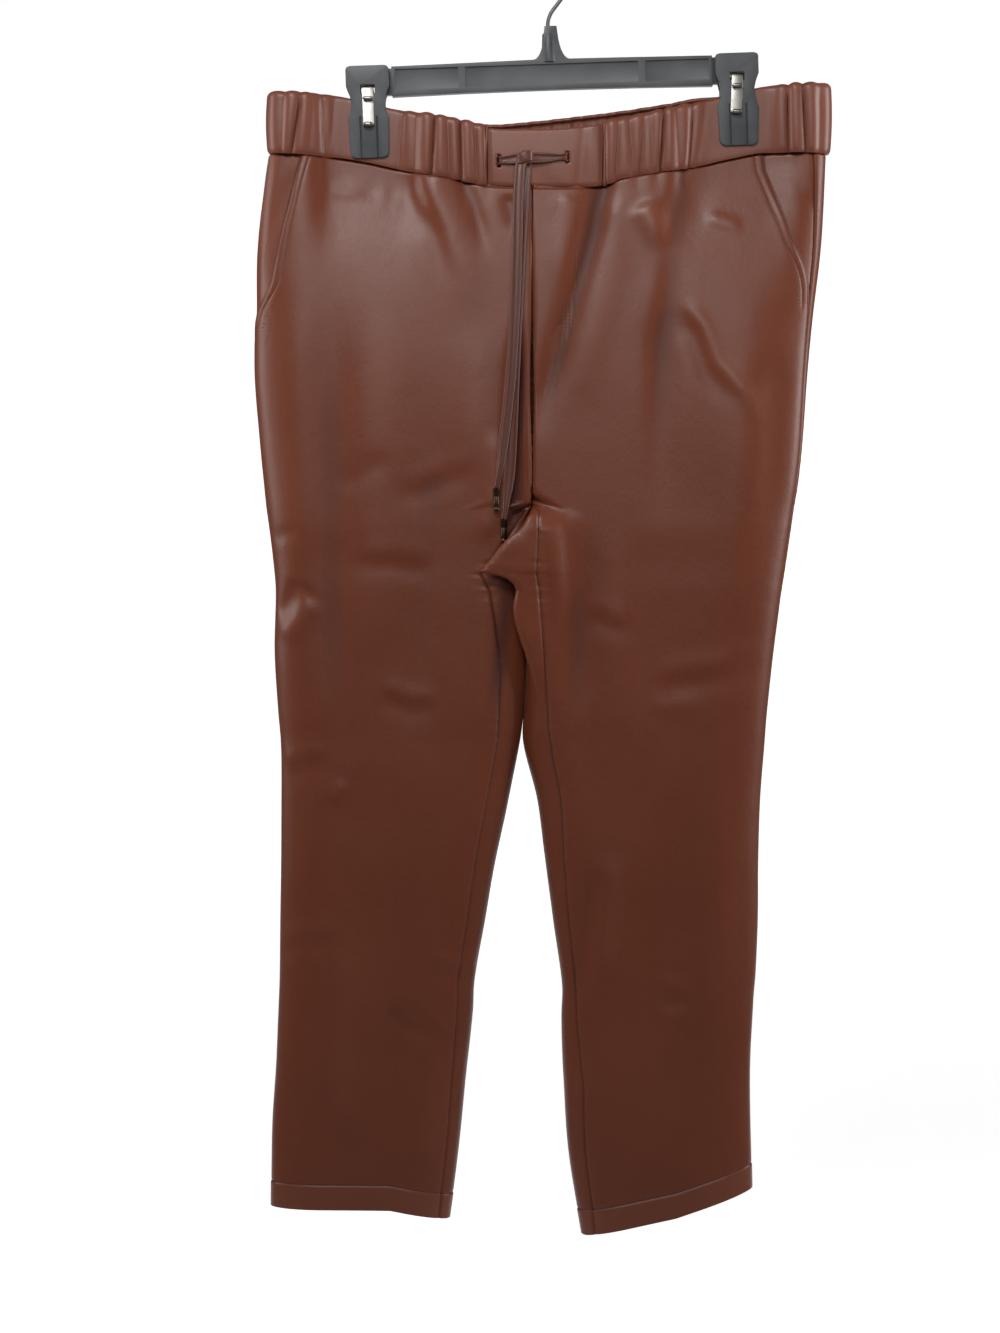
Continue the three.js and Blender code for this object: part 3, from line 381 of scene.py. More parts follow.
def agletPiece(name):
    end = Vector(tie[name][-1])
    radius, length, rim = aglet["radius"], aglet["length"], aglet["rim"]
    profile = [(0.0, 0.0), (radius * 0.8, 0.0), (radius + rim, -0.5), (radius + rim, -1.5), (radius, -2.1),
               (radius, -6.4),
               (radius - 0.3, -6.9), (radius - 0.3, -7.7), (radius, -8.2), (radius, -length + 3.0),
               (radius - 0.25, -length + 2.5),
               (radius, -length + 2.0), (radius + 0.2, -length + 0.6), (radius * 0.86, -length),
               (0.0, -length)]
    bm = bmesh.new()
    verts = [bm.verts.new((side * mm, 0, down * mm)) for side, down in profile]
    edges = [bm.edges.new(pair) for pair in zip(verts, verts[1:])]
    bmesh.ops.spin(bm, geom=verts + edges, cent=(0, 0, 0), axis=(0, 0, 1), angle=2 * math.pi, steps=28,
                   use_merge=True)
    bmesh.ops.remove_doubles(bm, verts=bm.verts, dist=1e-6)
    bmesh.ops.recalc_face_normals(bm, faces=bm.faces)
    bmesh.ops.translate(bm, verts=bm.verts, vec=end + Vector((-0.0002, 0, -0.0003)))
    piece = finished("aglet_end_" + name, bm, bronze, flat=50)
    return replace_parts(piece, "aglet_" + name)


def knotPiece():
    angles = np.linspace(0, 2 * math.pi, 49)
    path = np.array([(knot["x"] + knot["across"] * math.cos(a), knot["y"] + knot["deep"] * math.sin(a),
                      knot["z"] + knot["tilt"] * math.cos(a + 0.5)) for a in angles])
    half = knot["height"] / 2
    rows = []
    for k, centre in enumerate(path):
        angle = angles[k]
        out = np.array((math.cos(angle) * knot["deep"], math.sin(angle) * knot["across"], 0))
        out /= np.linalg.norm(out)
        pinch = 1 - 0.16 * math.cos(2 * angle)
        row = []
        for side, front in ovalSection(2 * half, knot["wall"], 16, 0.6):
            ripple = 0.35 * math.cos(side * 1.6 + 2 * angle)
            row.append(centre + np.array((0, 0, side * pinch)) + out * (front + ripple))
        rows.append(row)
    rows[-1] = rows[0]
    points = np.array(rows)
    bm = gridMesh(points, crease=np.full(points.shape[:2], 0.2), loop=True, doubles=2e-5)
    bmesh.ops.recalc_face_normals(bm, faces=bm.faces)
    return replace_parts(finished("tie_wrap", bm, tieLeather, flat=60), "tie_knot")


wrap = knotPiece()
for name, fromSlit, others in (("long", "tie_from_slit_left", [wrap]), ("short", "tie_from_slit_right", [])):
    strip, path = tieStrip(name)
    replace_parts(strip, fromSlit, "tie_end_" + name)
    agletPiece(name)
print("stage: tie")


# ---- form of the cloth
def byColumn(names, rows):
    ordered = np.array(sorted(rows), float)
    return {name: ordered[:, k] for k, name in enumerate(names.split())}


def smoothAt(table, name, at):
    place, value = next(iter(table.values())), table[name]
    slope = np.gradient(value, place)
    slope[1:-1] = (value[2:] - value[:-2]) / (place[2:] - place[:-2])
    at = np.clip(at, place[0], place[-1])
    i = np.clip(np.searchsorted(place, at, side="right") - 1, 0, len(place) - 2)
    step = place[i + 1] - place[i]
    t = (at - place[i]) / step
    return value[i] + t * t * (3 - 2 * t) * (value[i + 1]
                                             - value[i]) + t * (1 - t) * ((1 - t) * slope[i]
                                                                          - t * slope[i + 1]) * step


def straightAt(table, name, at):
    return np.interp(at, next(iter(table.values())), table[name])


# Level sections: side folds, middle, half the space between the legs, depth of front and
# back, and how far in from a fold the depth is reached.
sections = byColumn("z left right mid part front back fold thigh", [
    (-105, -234, 241, -14, 0, 14, 15, 20, 0), (-165, -240, 238, -14, 0, 13, 15, 24, 0),
    (-202, -246, 237, -14, 0, 16, 19, 32, 0), (-254, -252, 234, -14, 0, 20, 25, 46, 0),
    (-306, -252, 228, -14, 0, 23, 29, 56, 0), (-358, -253, 223, -14, 0, 25, 31, 60, 0),
    (-410, -249, 219, -14, 0, 26, 30, 62, 0), (-450, -245, 215, -14, 0, 26, 29, 61, 0),
    (-470, -243, 212, -14, 0, 26, 28, 60, 3), (-486, -241, 210, -14, 0, 26, 27, 59, 16),
    (-514, -238, 206, -15, 0, 25, 26, 58, 30), (-540, -236, 202, -16, 0, 25, 26, 58, 36),
    (-592, -237, 195, -18, 0, 24, 25, 56, 40), (-644, -234, 190, -21, 0, 23, 24, 55, 43),
    (-672, -232, 188, -23, 1.2, 22, 24, 55, 45), (-722, -232, 184, -22, 12.6, 21, 23, 53, 45),
    (-774, -232, 183, -24, 21.6, 21, 22, 52, 45), (-826, -233, 183, -25, 29.4, 20, 22, 51, 45),
    (-878, -234, 181, -26, 38, 20, 21, 50, 45), (-904, -235, 179, -27, 38.6, 20, 21, 50, 44),
    (-956, -237, 177, -28.5, 42.4, 20, 21, 49, 43), (-1008, -241, 177, -29.5, 46.8, 19, 20, 48, 42),
    (-1060, -242, 178, -28.5, 54.5, 19, 20, 46, 40), (-1100, -242, 179, -27.5, 61, 19, 20, 46, 40)])

# The waist droops between the clips: the band's top edge and its seam, front and back.
waist = byColumn("x top seam backTop backSeam", [
    (-242, -116, -165, -116, -165), (-185, -119.5, -169.5, -119, -169), (-155, -125, -174, -125, -174.5),
    (-132, -131, -179, -130, -179.5), (-93, -137.2, -186, -137, -187), (-50, -145.8, -194.5, -141.5, -191.5),
    (-14, -146.7, -196, -139, -189), (14, -145.8, -196, -136, -186), (44, -142.4, -195, -132.5, -182.5),
    (63, -139.6, -188, -130, -180), (123, -126.4, -178, -121, -172), (160, -118, -170, -117, -168.5),
    (183, -112, -166, -112, -165), (243, -109, -166, -109, -166)])
hems = {-1: byColumn("x z", [(-242, -1077.5), (-137, -1078.5), (-88, -1088)]),
        1: byColumn("x z", [(34, -1102.5), (111, -1085.5), (180, -1061)])}
sideSeams = byColumn("z left right", [(-165, -10, 18), (-211, -10, 15), (-304, -10, 11), (-410, -10, 7),
                                      (-500, -10, 6), (-620, -10, -6), (-1100, -10, -8)])
pocketEdges = {-1: byColumn("z x",
                            [(-165, -207), (-201, -218), (-235, -227), (-284, -237.5), (-324, -246),
                             (-350, -252)]),
               1: byColumn("z x", [(-165, 182.5), (-195, 186), (-243, 205), (-304, 222.5)])}
pocketEnds = {-1: -340, 1: -304}
bearerEnds = {-1: -354, 1: -318}
inseams = byColumn("z left right", [
    (-450, 0.1, 0.1), (-465, 0.2, 0.2), (-470, 5, 5.2), (-526, 42, 5), (-541, 34, 8), (-592, 24, 14),
    (-672, 20, 24), (-774, 17, 16),
    (-878, 14, 11), (-956, 12, 17), (-1060, 10, 13), (-1100, 9, 10)])
# Seat cloth that falls forward between the thighs: its reach to the left, and its lift.
seatFold = byColumn("z reach lift", [
    (-458, 0, 0), (-470, 0.4, 8), (-486, 15, 14), (-506, 31, 15.5), (-518, 40, 15.5), (-523, 44.5, 15),
    (-525, 38, 14),
    (-527, 27, 13), (-530, 19.5, 12), (-534, 15, 11), (-539, 12, 10), (-546, 13, 9), (-555, 14, 8),
    (-564, 12.5, 7),
    (-588, 5, 4.5), (-605, 1.5, 3), (-630, 0, 1.4), (-655, 0, 0)])
cloth = {
    "wall": 1.5, "seamGap": 0.04, "turnIn": 1.2, "valley": 0.7, "closed": 1.1, "waistGap": 0.8,
    "tuck": (3.6, 2.0), "foldRadius": 3.4, "crotch": -470, "backRise": -424, "rowPitch": 3.6,
    "bandLevel": -151, "waistLevel": -181, "stillLevel": -420, "dropLevel": -760, "hemLevel": -1082,
    "hemDepth": 22,
    "fine": (-514, -549, 1.3),
}
clips = {"x": (-155, 160), "half": 3.6, "reach": 44, "smooth": 34, "jawBottom": -172, "fade": 62}
sideNames = {-1: "left", 1: "right"}
rings = {}


def resampled(points, count):
    points = np.array(points, float)
    walked = np.concatenate([[0], np.cumsum(np.linalg.norm(np.diff(points, axis=0), axis=1))])
    at = np.linspace(0, walked[-1], count)
    return np.stack([np.interp(at, walked, points[:, k]) for k in (0, 1)], -1)


def outline(side, z):
    key = (side, round(float(z), 3))
    if key in rings:
        return rings[key]
    inner = smoothAt(sections, "mid", z) + side * max(smoothAt(sections, "part", z), cloth["seamGap"] / 2)
    outer = smoothAt(sections, sideNames[side], z)
    front, back, fold = (float(smoothAt(sections, name, z)) for name in ("front", "back", "fold"))
    thigh = max(float(straightAt(sections, "thigh", z)), cloth["valley"])
    reach, lift = float(straightAt(seatFold, "reach", z)), float(straightAt(seatFold, "lift", z))
    radius, points = cloth["foldRadius"], []

    def quarter(cx, rx, ry, start, end, steps):
        for t in np.linspace(start, end, steps + 1) * math.pi / 2:
            points.append((cx + rx * math.cos(t), ry * math.sin(t)))

    quarter(inner + side * thigh, -side * thigh, -front, 0, 1, 40)
    falls = float(ease(-655, -575, z) * ease(-456, -478, z)) if side > 0 and lift > 0 else 0
    if falls:
        tipX, tipY = inner - reach + radius, radius - front - lift
        fallen = [(inner, 0), (inner, 3 - front), (min(inner, tipX + 4), tipY + radius)]
        fallen += [(tipX + radius * math.cos(a),
                    tipY + radius * math.sin(a)) for a in np.linspace(0.5, 1.5, 17) * math.pi]
        fallen += [(inner + 6, -front - lift * 0.72), (inner + 16, -front - lift * 0.46),
                   (inner + 30, -front - lift * 0.16), (inner + 44, -front)]
        points = list(resampled(points, 40) * (1 - falls) + resampled(fallen, 40) * falls)
    quarter(outer - side * fold, side * fold, -front, 1, 0, 30)
    quarter(outer - side * fold, side * fold, back, 0, 1, 30)
    inBack = thigh + (min(thigh, 12) - thigh) * falls
    quarter(inner + side * inBack, -side * inBack, back, 1, 0, 20)
    points = np.array(points, float)
    lengths = np.concatenate([[0], np.cumsum(np.linalg.norm(np.diff(points, axis=0), axis=1))])
    turn = int(np.argmax(side * points[:, 0]))
    rings[key] = {"side": side, "z": z, "inner": inner, "points": points, "lengths": lengths,
                  "total": lengths[-1],
                  "outer": lengths[turn], "turn": turn, "front": front, "back": back}
    return rings[key]


def along(ring, lengths):
    at = np.mod(lengths, ring["total"] + 1e-9)
    return np.stack([np.interp(at, ring["lengths"], ring["points"][:, k]) for k in (0, 1)], -1)


# Length at which the front or back of an outline passes a place across.
def lengthAtX(ring, x, face):
    low, high = ring["outer"], 0.0 if face == "front" else ring["total"]
    for _ in range(40):
        half = (low + high) / 2
        beyond = ring["side"] * along(ring, half)[0] > ring["side"] * x
        low, high = (half, high) if beyond else (low, half)
    return (low + high) / 2


def inseamLength(ring):
    side = ring["side"]
    return lengthAtX(ring, ring["inner"] + side * straightAt(inseams, sideNames[side], ring["z"]), "front")


def sideSeamLength(ring):
    return ring["outer"] - straightAt(sideSeams, sideNames[ring["side"]], ring["z"])


def pocketLength(ring):
    return lengthAtX(ring, straightAt(pocketEdges[ring["side"]], "x", ring["z"]), "front")


def nearClips(x, reach):
    return np.maximum(*(np.exp(-((x - clip) / reach) ** 6) for clip in clips["x"]))


def pressed(x, y, z):
    away = np.maximum(clips["jawBottom"] - z, 0) / clips["fade"]
    grip = nearClips(x, clips["reach"]) * np.exp(-away * away)
    depth = np.abs(y)
    return np.where(depth <= clips["half"], y,
                    np.sign(y) * (clips["half"] + (depth - clips["half"]) * (1 - grip)))


def drooped(side, y, x, z):
    top = ease(cloth["stillLevel"], cloth["waistLevel"], z)
    foot = ease(-cloth["dropLevel"], -cloth["hemLevel"], -z)
    seam = np.where(y < 0, smoothAt(waist, "seam", x), smoothAt(waist, "backSeam", x)) - cloth["waistGap"]
    return z + top * (seam - cloth["waistLevel"]) + foot * (straightAt(hems[side], "z", x)
                                                            - cloth["hemLevel"])


def formPoints(ring, lengths):
    flat = along(ring, lengths)
    x, y = flat[:, 0], flat[:, 1]
    return np.stack([x, pressed(x, y, ring["z"]), drooped(ring["side"], y, x, np.full_like(x, ring["z"]))],
                    -1)


# ---- folds, placed one by one: depth, width to the left and to the right of the line, how
# much of the line fades in and out, and the line itself
frontFolds = [
    (-4.2, 13, 9, 0.0, 0.6, [(-126, -180), (-112, -206), (-98, -236), (-84, -290)]),
    (-2.6, 8, 6, 0.0, 0.6, [(-71, -190), (-63, -212), (-56, -238), (-50, -262)]),
    (-2.4, 7, 5, 0.1, 0.5, [(-35, -203), (-31, -220), (-28, -238)]),
    (-2.0, 8, 6, 0.0, 0.6, [(-152, -176), (-151, -194), (-149, -214)]),
    (1.5, 5, 7, 0.3, 0.4, [(-203, -202), (-180, -198), (-156, -203)]),
    (2.2, 20, 16, 0.1, 0.7, [(-112, -182), (-92, -222), (-72, -270), (-62, -330)]),
    (-3.4, 20, 18, 0.3, 0.5, [(-182, -240), (-184, -330), (-186, -480), (-184, -640), (-190, -820)]),
    (2.0, 18, 18, 0.2, 0.4, [(-214, -250), (-217, -360), (-212, -520), (-212, -660)]),
    (1.6, 24, 24, 0.3, 0.5, [(-142, -250), (-146, -400), (-140, -560)]),
    (-2.2, 24, 22, 0.3, 0.4, [(-104, -330), (-98, -420), (-108, -560), (-112, -700)]),
    (1.8, 18, 20, 0.3, 0.5, [(-58, -300), (-62, -390), (-70, -470)]),
    (-5.0, 12, 9, 0.0, 0.35, [(46, -194), (38, -235), (32, -256), (14, -318), (-3, -376), (-12, -420)]),
    (1.9, 10, 14, 0.1, 0.5, [(18, -200), (10, -250), (4, -290)]),
    (1.6, 12, 16, 0.1, 0.4, [(60, -200), (52, -262), (34, -330), (20, -400)]),
    (-4.4, 12, 16, 0.0, 0.6, [(119, -180), (110, -215), (104, -248), (96, -334), (94, -400), (98, -520)]),
    (2.6, 12, 14, 0.1, 0.4, [(78, -206), (90, -230), (100, -252), (84, -330)]),
    (2.1, 5, 8, 0.2, 0.3, [(112, -290), (132, -316), (143, -346), (168, -373), (177, -402)]),
    (-1.5, 7, 9, 0.3, 0.4, [(104, -296), (122, -326), (134, -358), (158, -388)]),
    (1.7, 5, 7, 0.3, 0.3, [(132, -221), (148, -226), (166, -231)]),
    (1.2, 12, 12, 0.2, 0.6, [(78, -209), (88, -228), (99, -246)]),
    (2.0, 22, 22, 0.2, 0.5, [(160, -250), (164, -340), (160, -460), (158, -600)]),
    (-2.0, 14, 14, 0.2, 0.5, [(196, -330), (192, -420), (186, -520)]),
    (-3.2, 8, 6, 0.0, 0.5, [(-224, -166), (-230, -211), (-244, -262)]),
    (-2.2, 5, 5, 0.0, 0.5, [(-214, -168), (-222, -196), (-231, -232)]),
    (-2.8, 4, 6, 0.0, 0.5, [(205, -164), (210, -174), (218, -196), (226, -219)]),
    (-6.5, 8, 8, 0.3, 0.12, [(-25, -300), (-27, -370), (-28, -420), (-28, -465), (-31, -500)]),
    (1.8, 8, 9, 0.2, 0.2, [(-45, -400), (-46, -450), (-56, -500)]),
    (-3.0, 14, 18, 0.35, 0.55, [(14, -490), (25, -560), (26, -600), (23, -642), (15, -720)]),
    (2.3, 8, 9, 0.1, 0.5, [(0, -478), (6, -510), (10, -545), (8, -580)]),
    (1.6, 16, 18, 0.2, 0.5, [(52, -480), (56, -560), (50, -660)]),
    (-2.4, 8, 12, 0.2, 0.3, [(-211, -530), (-222, -548), (-234, -566)]),
    (-1.0, 5, 7, 0.2, 0.3, [(-237, -497), (-226, -492), (-212, -490)]),
    (1.8, 8, 10, 0.2, 0.3, [(-202, -546), (-216, -566), (-230, -584)]),
    (1.0, 6, 9, 0.3, 0.3, [(-146, -616), (-130, -626), (-113, -632), (-92, -627)]),
    (-0.9, 10, 8, 0.3, 0.3, [(-148, -628), (-120, -644), (-92, -640)]),
    (1.0, 6, 10, 0.2, 0.3, [(-230, -688), (-212, -681), (-192, -673)]),
    (-0.8, 9, 9, 0.2, 0.4, [(-228, -700), (-206, -694), (-180, -690)]),
    (1.3, 6, 6, 0.3, 0.3, [(-185, -724), (-181, -712), (-176, -702)]),
    (-0.9, 10, 12, 0.3, 0.3, [(-176, -517), (-134, -518), (-94, -524)]),
    (0.9, 9, 11, 0.3, 0.3, [(-170, -506), (-130, -506), (-92, -510)]),
    (-1.1, 10, 13, 0.3, 0.3, [(-138, -462), (-98, -450), (-56, -434)]),
    (0.8, 10, 10, 0.3, 0.3, [(-132, -452), (-96, -438), (-60, -424)]),
    (-1.0, 9, 12, 0.3, 0.3, [(-182, -455), (-158, -440), (-132, -424)]),
    (1.0, 9, 12, 0.3, 0.3, [(79, -616), (108, -608), (152, -602), (182, -580)]),
    (-1.1, 12, 10, 0.3, 0.3, [(84, -628), (112, -620), (156, -614), (186, -596)]),
    (0.9, 9, 11, 0.2, 0.4, [(33, -547), (50, -557), (70, -563)]),
    (-0.9, 9, 9, 0.2, 0.4, [(36, -560), (54, -571), (78, -578)]),
    (0.8, 8, 10, 0.3, 0.3, [(81, -640), (108, -639), (136, -635)]),
    (1.1, 5, 7, 0.1, 0.4, [(-60, -857), (-72, -863), (-88, -860), (-105, -851)]),
    (-1.0, 8, 8, 0.1, 0.4, [(-64, -868), (-80, -874), (-104, -866)]),
    (-1.1, 9, 12, 0.2, 0.3, [(-146, -896), (-114, -918), (-80, -937)]),
    (0.9, 9, 10, 0.2, 0.3, [(-138, -884), (-108, -905), (-78, -920)]),
    (-0.9, 9, 10, 0.2, 0.3, [(-234, -853), (-208, -846), (-182, -842)]),
    (0.8, 8, 9, 0.2, 0.3, [(-232, -842), (-206, -834), (-180, -831)]),
    (-1.0, 10, 12, 0.3, 0.3, [(-226, -1013), (-208, -996), (-189, -978)]),
    (1.4, 16, 18, 0.2, 0.4, [(-170, -830), (-176, -930), (-172, -1040)]),
    (-1.6, 20, 20, 0.2, 0.4, [(-128, -790), (-130, -900), (-140, -1040)]),
    (1.4, 14, 14, 0.2, 0.4, [(-96, -900), (-102, -980), (-106, -1060)]),
    (-2.2, 8, 11, 0.2, 0.3, [(42, -774), (37, -812), (33, -850), (26, -902)]),
    (1.5, 10, 12, 0.2, 0.4, [(54, -760), (52, -830), (44, -900)]),
    (-1.0, 6, 7, 0.1, 0.5, [(2, -791), (9, -788), (20, -783)]),
    (0.8, 8, 8, 0.3, 0.3, [(93, -876), (110, -882), (127, -886)]),
    (-0.8, 8, 8, 0.3, 0.3, [(93, -894), (110, -897), (127, -896)]),
    (0.7, 8, 8, 0.3, 0.3, [(94, -908), (110, -906), (128, -907)]),
    (-1.6, 20, 22, 0.2, 0.4, [(112, -700), (106, -820), (104, -960), (96, -1060)]),
    (1.4, 18, 18, 0.2, 0.4, [(148, -690), (146, -820), (142, -980)]),
    (-1.3, 14, 14, 0.2, 0.4, [(166, -760), (162, -900), (160, -1040)]),
]
backFolds = [
    (-4.5, 17, 12, 0.0, 0.5, [(-70, -190), (-78, -240), (-95, -330)]),
    (-4.2, 13, 18, 0.0, 0.5, [(60, -185), (72, -250), (88, -345)]),
    (2.4, 16, 18, 0.1, 0.5, [(-110, -200), (-124, -270), (-136, -350)]),
    (2.2, 18, 16, 0.1, 0.5, [(112, -190), (122, -270), (136, -360)]),
    (-3.2, 15, 11, 0.0, 0.5, [(-168, -178), (-176, -240), (-190, -330)]),
    (-3.0, 11, 15, 0.0, 0.5, [(172, -178), (178, -240), (186, -320)]),
    (-3.6, 22, 14, 0.2, 0.3, [(-20, -320), (-38, -370), (-64, -428)]),
    (-3.3, 14, 22, 0.2, 0.3, [(-8, -318), (12, -372), (36, -432)]),
    (2.6, 18, 14, 0.2, 0.4, [(-26, -360), (-56, -418), (-96, -462)]),
    (2.4, 14, 18, 0.2, 0.4, [(2, -356), (32, -418), (74, -468)]),
    (-2.8, 9, 12, 0.1, 0.4, [(-20, -460), (-52, -480), (-104, -505), (-160, -512)]),
    (-2.8, 12, 9, 0.1, 0.4, [(-6, -462), (30, -484), (84, -510), (140, -520)]),
    (2.2, 10, 12, 0.1, 0.4, [(-24, -484), (-62, -508), (-110, -530)]),
    (2.0, 12, 10, 0.1, 0.4, [(2, -486), (40, -512), (92, -538)]),
    (-2.4, 12, 16, 0.2, 0.3, [(-52, -556), (-100, -594), (-156, -622)]),
    (-2.2, 16, 12, 0.2, 0.3, [(24, -566), (70, -604), (126, -642)]),
    (2.6, 13, 14, 0.2, 0.3, [(-60, -580), (-104, -612), (-150, -640)]),
    (2.4, 14, 13, 0.2, 0.3, [(32, -590), (76, -626), (120, -662)]),
    (-2.4, 9, 12, 0.2, 0.3, [(-60, -700), (-104, -716), (-176, -706), (-222, -690)]),
    (-2.2, 12, 9, 0.2, 0.3, [(16, -706), (62, -726), (128, -716), (172, -700)]),
    (2.2, 9, 10, 0.2, 0.3, [(-64, -722), (-112, -736), (-178, -726)]),
    (2.0, 10, 9, 0.2, 0.3, [(22, -728), (68, -746), (126, -738)]),
    (-2.0, 10, 12, 0.2, 0.4, [(-74, -752), (-116, -768), (-170, -762)]),
    (-1.9, 12, 10, 0.2, 0.4, [(30, -760), (72, -776), (120, -772)]),
    (1.8, 18, 18, 0.2, 0.4, [(-152, -800), (-158, -920), (-162, -1040)]),
    (-1.9, 20, 20, 0.2, 0.4, [(-110, -790), (-118, -920), (-124, -1050)]),
    (1.8, 18, 18, 0.2, 0.4, [(96, -800), (102, -920), (106, -1040)]),
    (-1.9, 20, 20, 0.2, 0.4, [(60, -790), (66, -920), (72, -1050)]),
    (-1.5, 9, 11, 0.2, 0.3, [(-212, -918), (-184, -930), (-150, -932)]),
    (-1.5, 11, 9, 0.2, 0.3, [(150, -908), (124, -922), (92, -926)]),
    (1.6, 14, 14, 0.1, 0.5, [(-30, -200), (-34, -250), (-40, -300)]),
    (1.6, 14, 14, 0.1, 0.5, [(14, -195), (20, -250), (30, -300)]),
]
band = {
    "wall": 2.6, "puff": 1.1, "roll": 2.6, "flat": (-52.0, 46.0), "columns": 620, "rows": 22,
    "pleatPitch": (7.5, 12.5), "seed": 11,
    # place, depth, width and lean of the deep pleats across the front
    "pleats": [(-226, 1.2, 3.2, -2), (-214, 2.3, 3.0, -8), (-203, 1.0, 4.0, -4), (-193, 2.2, 3.4, 3),
               (-184, 2.0, 3.4, -4),
               (-126, 2.6, 2.8, -5), (-113, 1.1, 4.0, -2), (-98, 2.7, 2.6, -3), (-86, 1.2, 4.2, 3),
               (-75, 3.0, 2.6, 1),
               (-63, 1.3, 3.6, 4), (-53.6, 2.4, 2.4, 1), (48, 3.0, 2.7, 1), (58, 1.5, 3.4, -3),
               (70, 1.2, 3.6, 4),
               (80, 1.6, 3.0, -3), (88, 1.0, 3.0, 2), (97, 3.0, 2.6, -3), (109, 1.2, 4.0, 3),
               (122, 2.9, 2.8, -4),
               (131, 1.4, 3.4, -8), (186, 1.2, 4.0, 3), (204, 2.8, 2.6, 1), (217, 2.4, 3.2, 3),
               (229, 1.0, 4.0, 1)],
}


# Height of one fold over an array of places.
def foldHeight(fold, x, z):
    depth, leftWidth, rightWidth, fadeIn, fadeOut, line = fold
    line = np.array(line, float)
    runs = np.diff(line, axis=0)
    sizes = np.linalg.norm(runs, axis=1)
    walked = np.concatenate([[0], np.cumsum(sizes)])
    best = np.full(x.shape, 1e9)
    share = np.zeros(x.shape)
    offset = np.zeros(x.shape)
    for start, run, size, before in zip(line, runs, sizes, walked):
        fromX, fromZ = x - start[0], z - start[1]
        t = np.clip((fromX * run[0] + fromZ * run[1]) / size ** 2, 0, 1)
        away = np.hypot(fromX - t * run[0], fromZ - t * run[1])
        closer = away < best
        best = np.where(closer, away, best)
        share = np.where(closer, (before + t * size) / walked[-1], share)
        offset = np.where(closer, np.where(run[0] * fromZ - run[1] * fromX < 0, -away, away), offset)
    width = np.where(offset < 0, leftWidth, rightWidth)
    taper = (ease(0, fadeIn, share) if fadeIn else 1) * ease(1, 1 - fadeOut, share)
    return depth * taper * np.exp(-(best / width) ** 2)


def gatherPlaces(seed, start, end):
    spread = random.Random(seed)
    places, x = [], start
    while x < end:
        places.append((x, spread.uniform(1.1, 2.2), spread.uniform(2.2, 3.4), spread.uniform(-3, 3),
                       spread.uniform(16, 42)))
        x += spread.uniform(*band["pleatPitch"])
    return places


backGathers = gatherPlaces(band["seed"], -232, 236)


# Short creases that fan out below the waist seam from each pleat of the band.
def fannedFolds():
    spread = random.Random(5)
    front = [(-0.62 * depth, width + 1.5, width + 1.5, 0.0, 0.9,
              [(x + lean, -160), (x + lean * 1.6, -196), (x + lean * 2.2, -196 - spread.uniform(12, 34))])
             for x, depth, width, lean in band["pleats"] if abs(x + 14) < 205]
    back = [(-0.7 * depth, width + 1.2, width + 1.2, 0.0, 0.9,
             [(x, -160), (x + lean, -190), (x + lean * 2, -190 - reach)])
            for x, depth, width, lean, reach in backGathers]
    return front, back


fannedFront, fannedBack = fannedFolds()


def creaseField(points, depthFront, depthBack):
    x, y, z = points[..., 0], points[..., 1], points[..., 2]
    height = np.zeros(x.shape)
    for rows, share in ((frontFolds + fannedFront, ease(0.05, 0.5, -y / depthFront)),
                        (backFolds + fannedBack, ease(0.05, 0.5, y / depthBack))):
        field = np.zeros(x.shape)
        for fold in rows:
            reach = 3.2 * max(fold[1], fold[2])
            places = np.array(fold[5])
            near = ((x > places[:, 0].min() - reach) & (x < places[:, 0].max() + reach)
                    & (z > places[:, 1].min() - reach) & (z < places[:, 1].max() + reach))
            if near.any():
                field[near] += foldHeight(fold, x[near], z[near])
        height += field * share
    calm = 1 - nearClips(x, clips["reach"]) * ease(-215, -180, z)
    swell = 0.55 * np.sin(x / 27 + z / 61 + 0.4 * np.sin(z / 37)) * np.sin(z / 47 - x / 83 + 1.1)
    return (height + swell) * calm


def gridNormals(points, side):
    across, down = np.gradient(points, axis=1), np.gradient(points, axis=0)
    normals = -side * np.cross(across, down)
    return normals / np.maximum(np.linalg.norm(normals, axis=2), 1e-9)[..., None]


def rowHeights(lowest=-1082.0):
    top, (fineTop, fineFoot, finePitch) = cloth["waistLevel"], cloth["fine"]
    hem = cloth["hemLevel"] + cloth["hemDepth"]
    rows = [top + cloth["tuck"][0], top + 1.8, top + 0.6, top, top - 0.7, top - 1.6,
            *np.arange(top - 3, fineTop, -cloth["rowPitch"]),
            *np.arange(fineTop, fineFoot, -finePitch), *np.arange(fineFoot, lowest, -cloth["rowPitch"])]
    rows = [z for z in rows if z > lowest + 2.4 and abs(z - hem) > 2.6] + [lowest + 1.6, lowest + 0.7, lowest]
    if lowest < hem:
        rows += [hem + 2.2, hem + 1.1, hem + 0.5, hem, hem - 0.5, hem - 1.1, hem - 2.2]
    return sorted(rows, reverse=True)


edgeSteps = np.array([0, 0.5, 1.1, 1.8, 2.6, 4.4, 6.4, 7.5, 8.2, 8.9, 10.2])


def spreadOut(length, count):
    steps = edgeSteps * min(1, length / 24)
    inside = np.linspace(steps[-1], length - steps[-1], count - 2 * (len(steps) - 1))
    return np.concatenate([steps[:-1], inside, length - steps[:-1][::-1]])


seamLook = {"groove": 1.5, "valley": 1.9, "ladder": 2.4, "ladderLevel": -445, "ladderHeight": 42,
            "puckerReach": (7, 6), "hemLayer": 0.45, "hemLine": 0.6}

# Painted shade in a dark strip beside the inseam of the left leg, on both faces of it.
hollowPaint = {"depth": 6, "x": -35, "lean": 0.12, "level": -540, "width": 10,
               "foot": (-680, -600), "top": (-520, -528)}


def bell(away, width):
    return np.exp(-(away / width) ** 2)


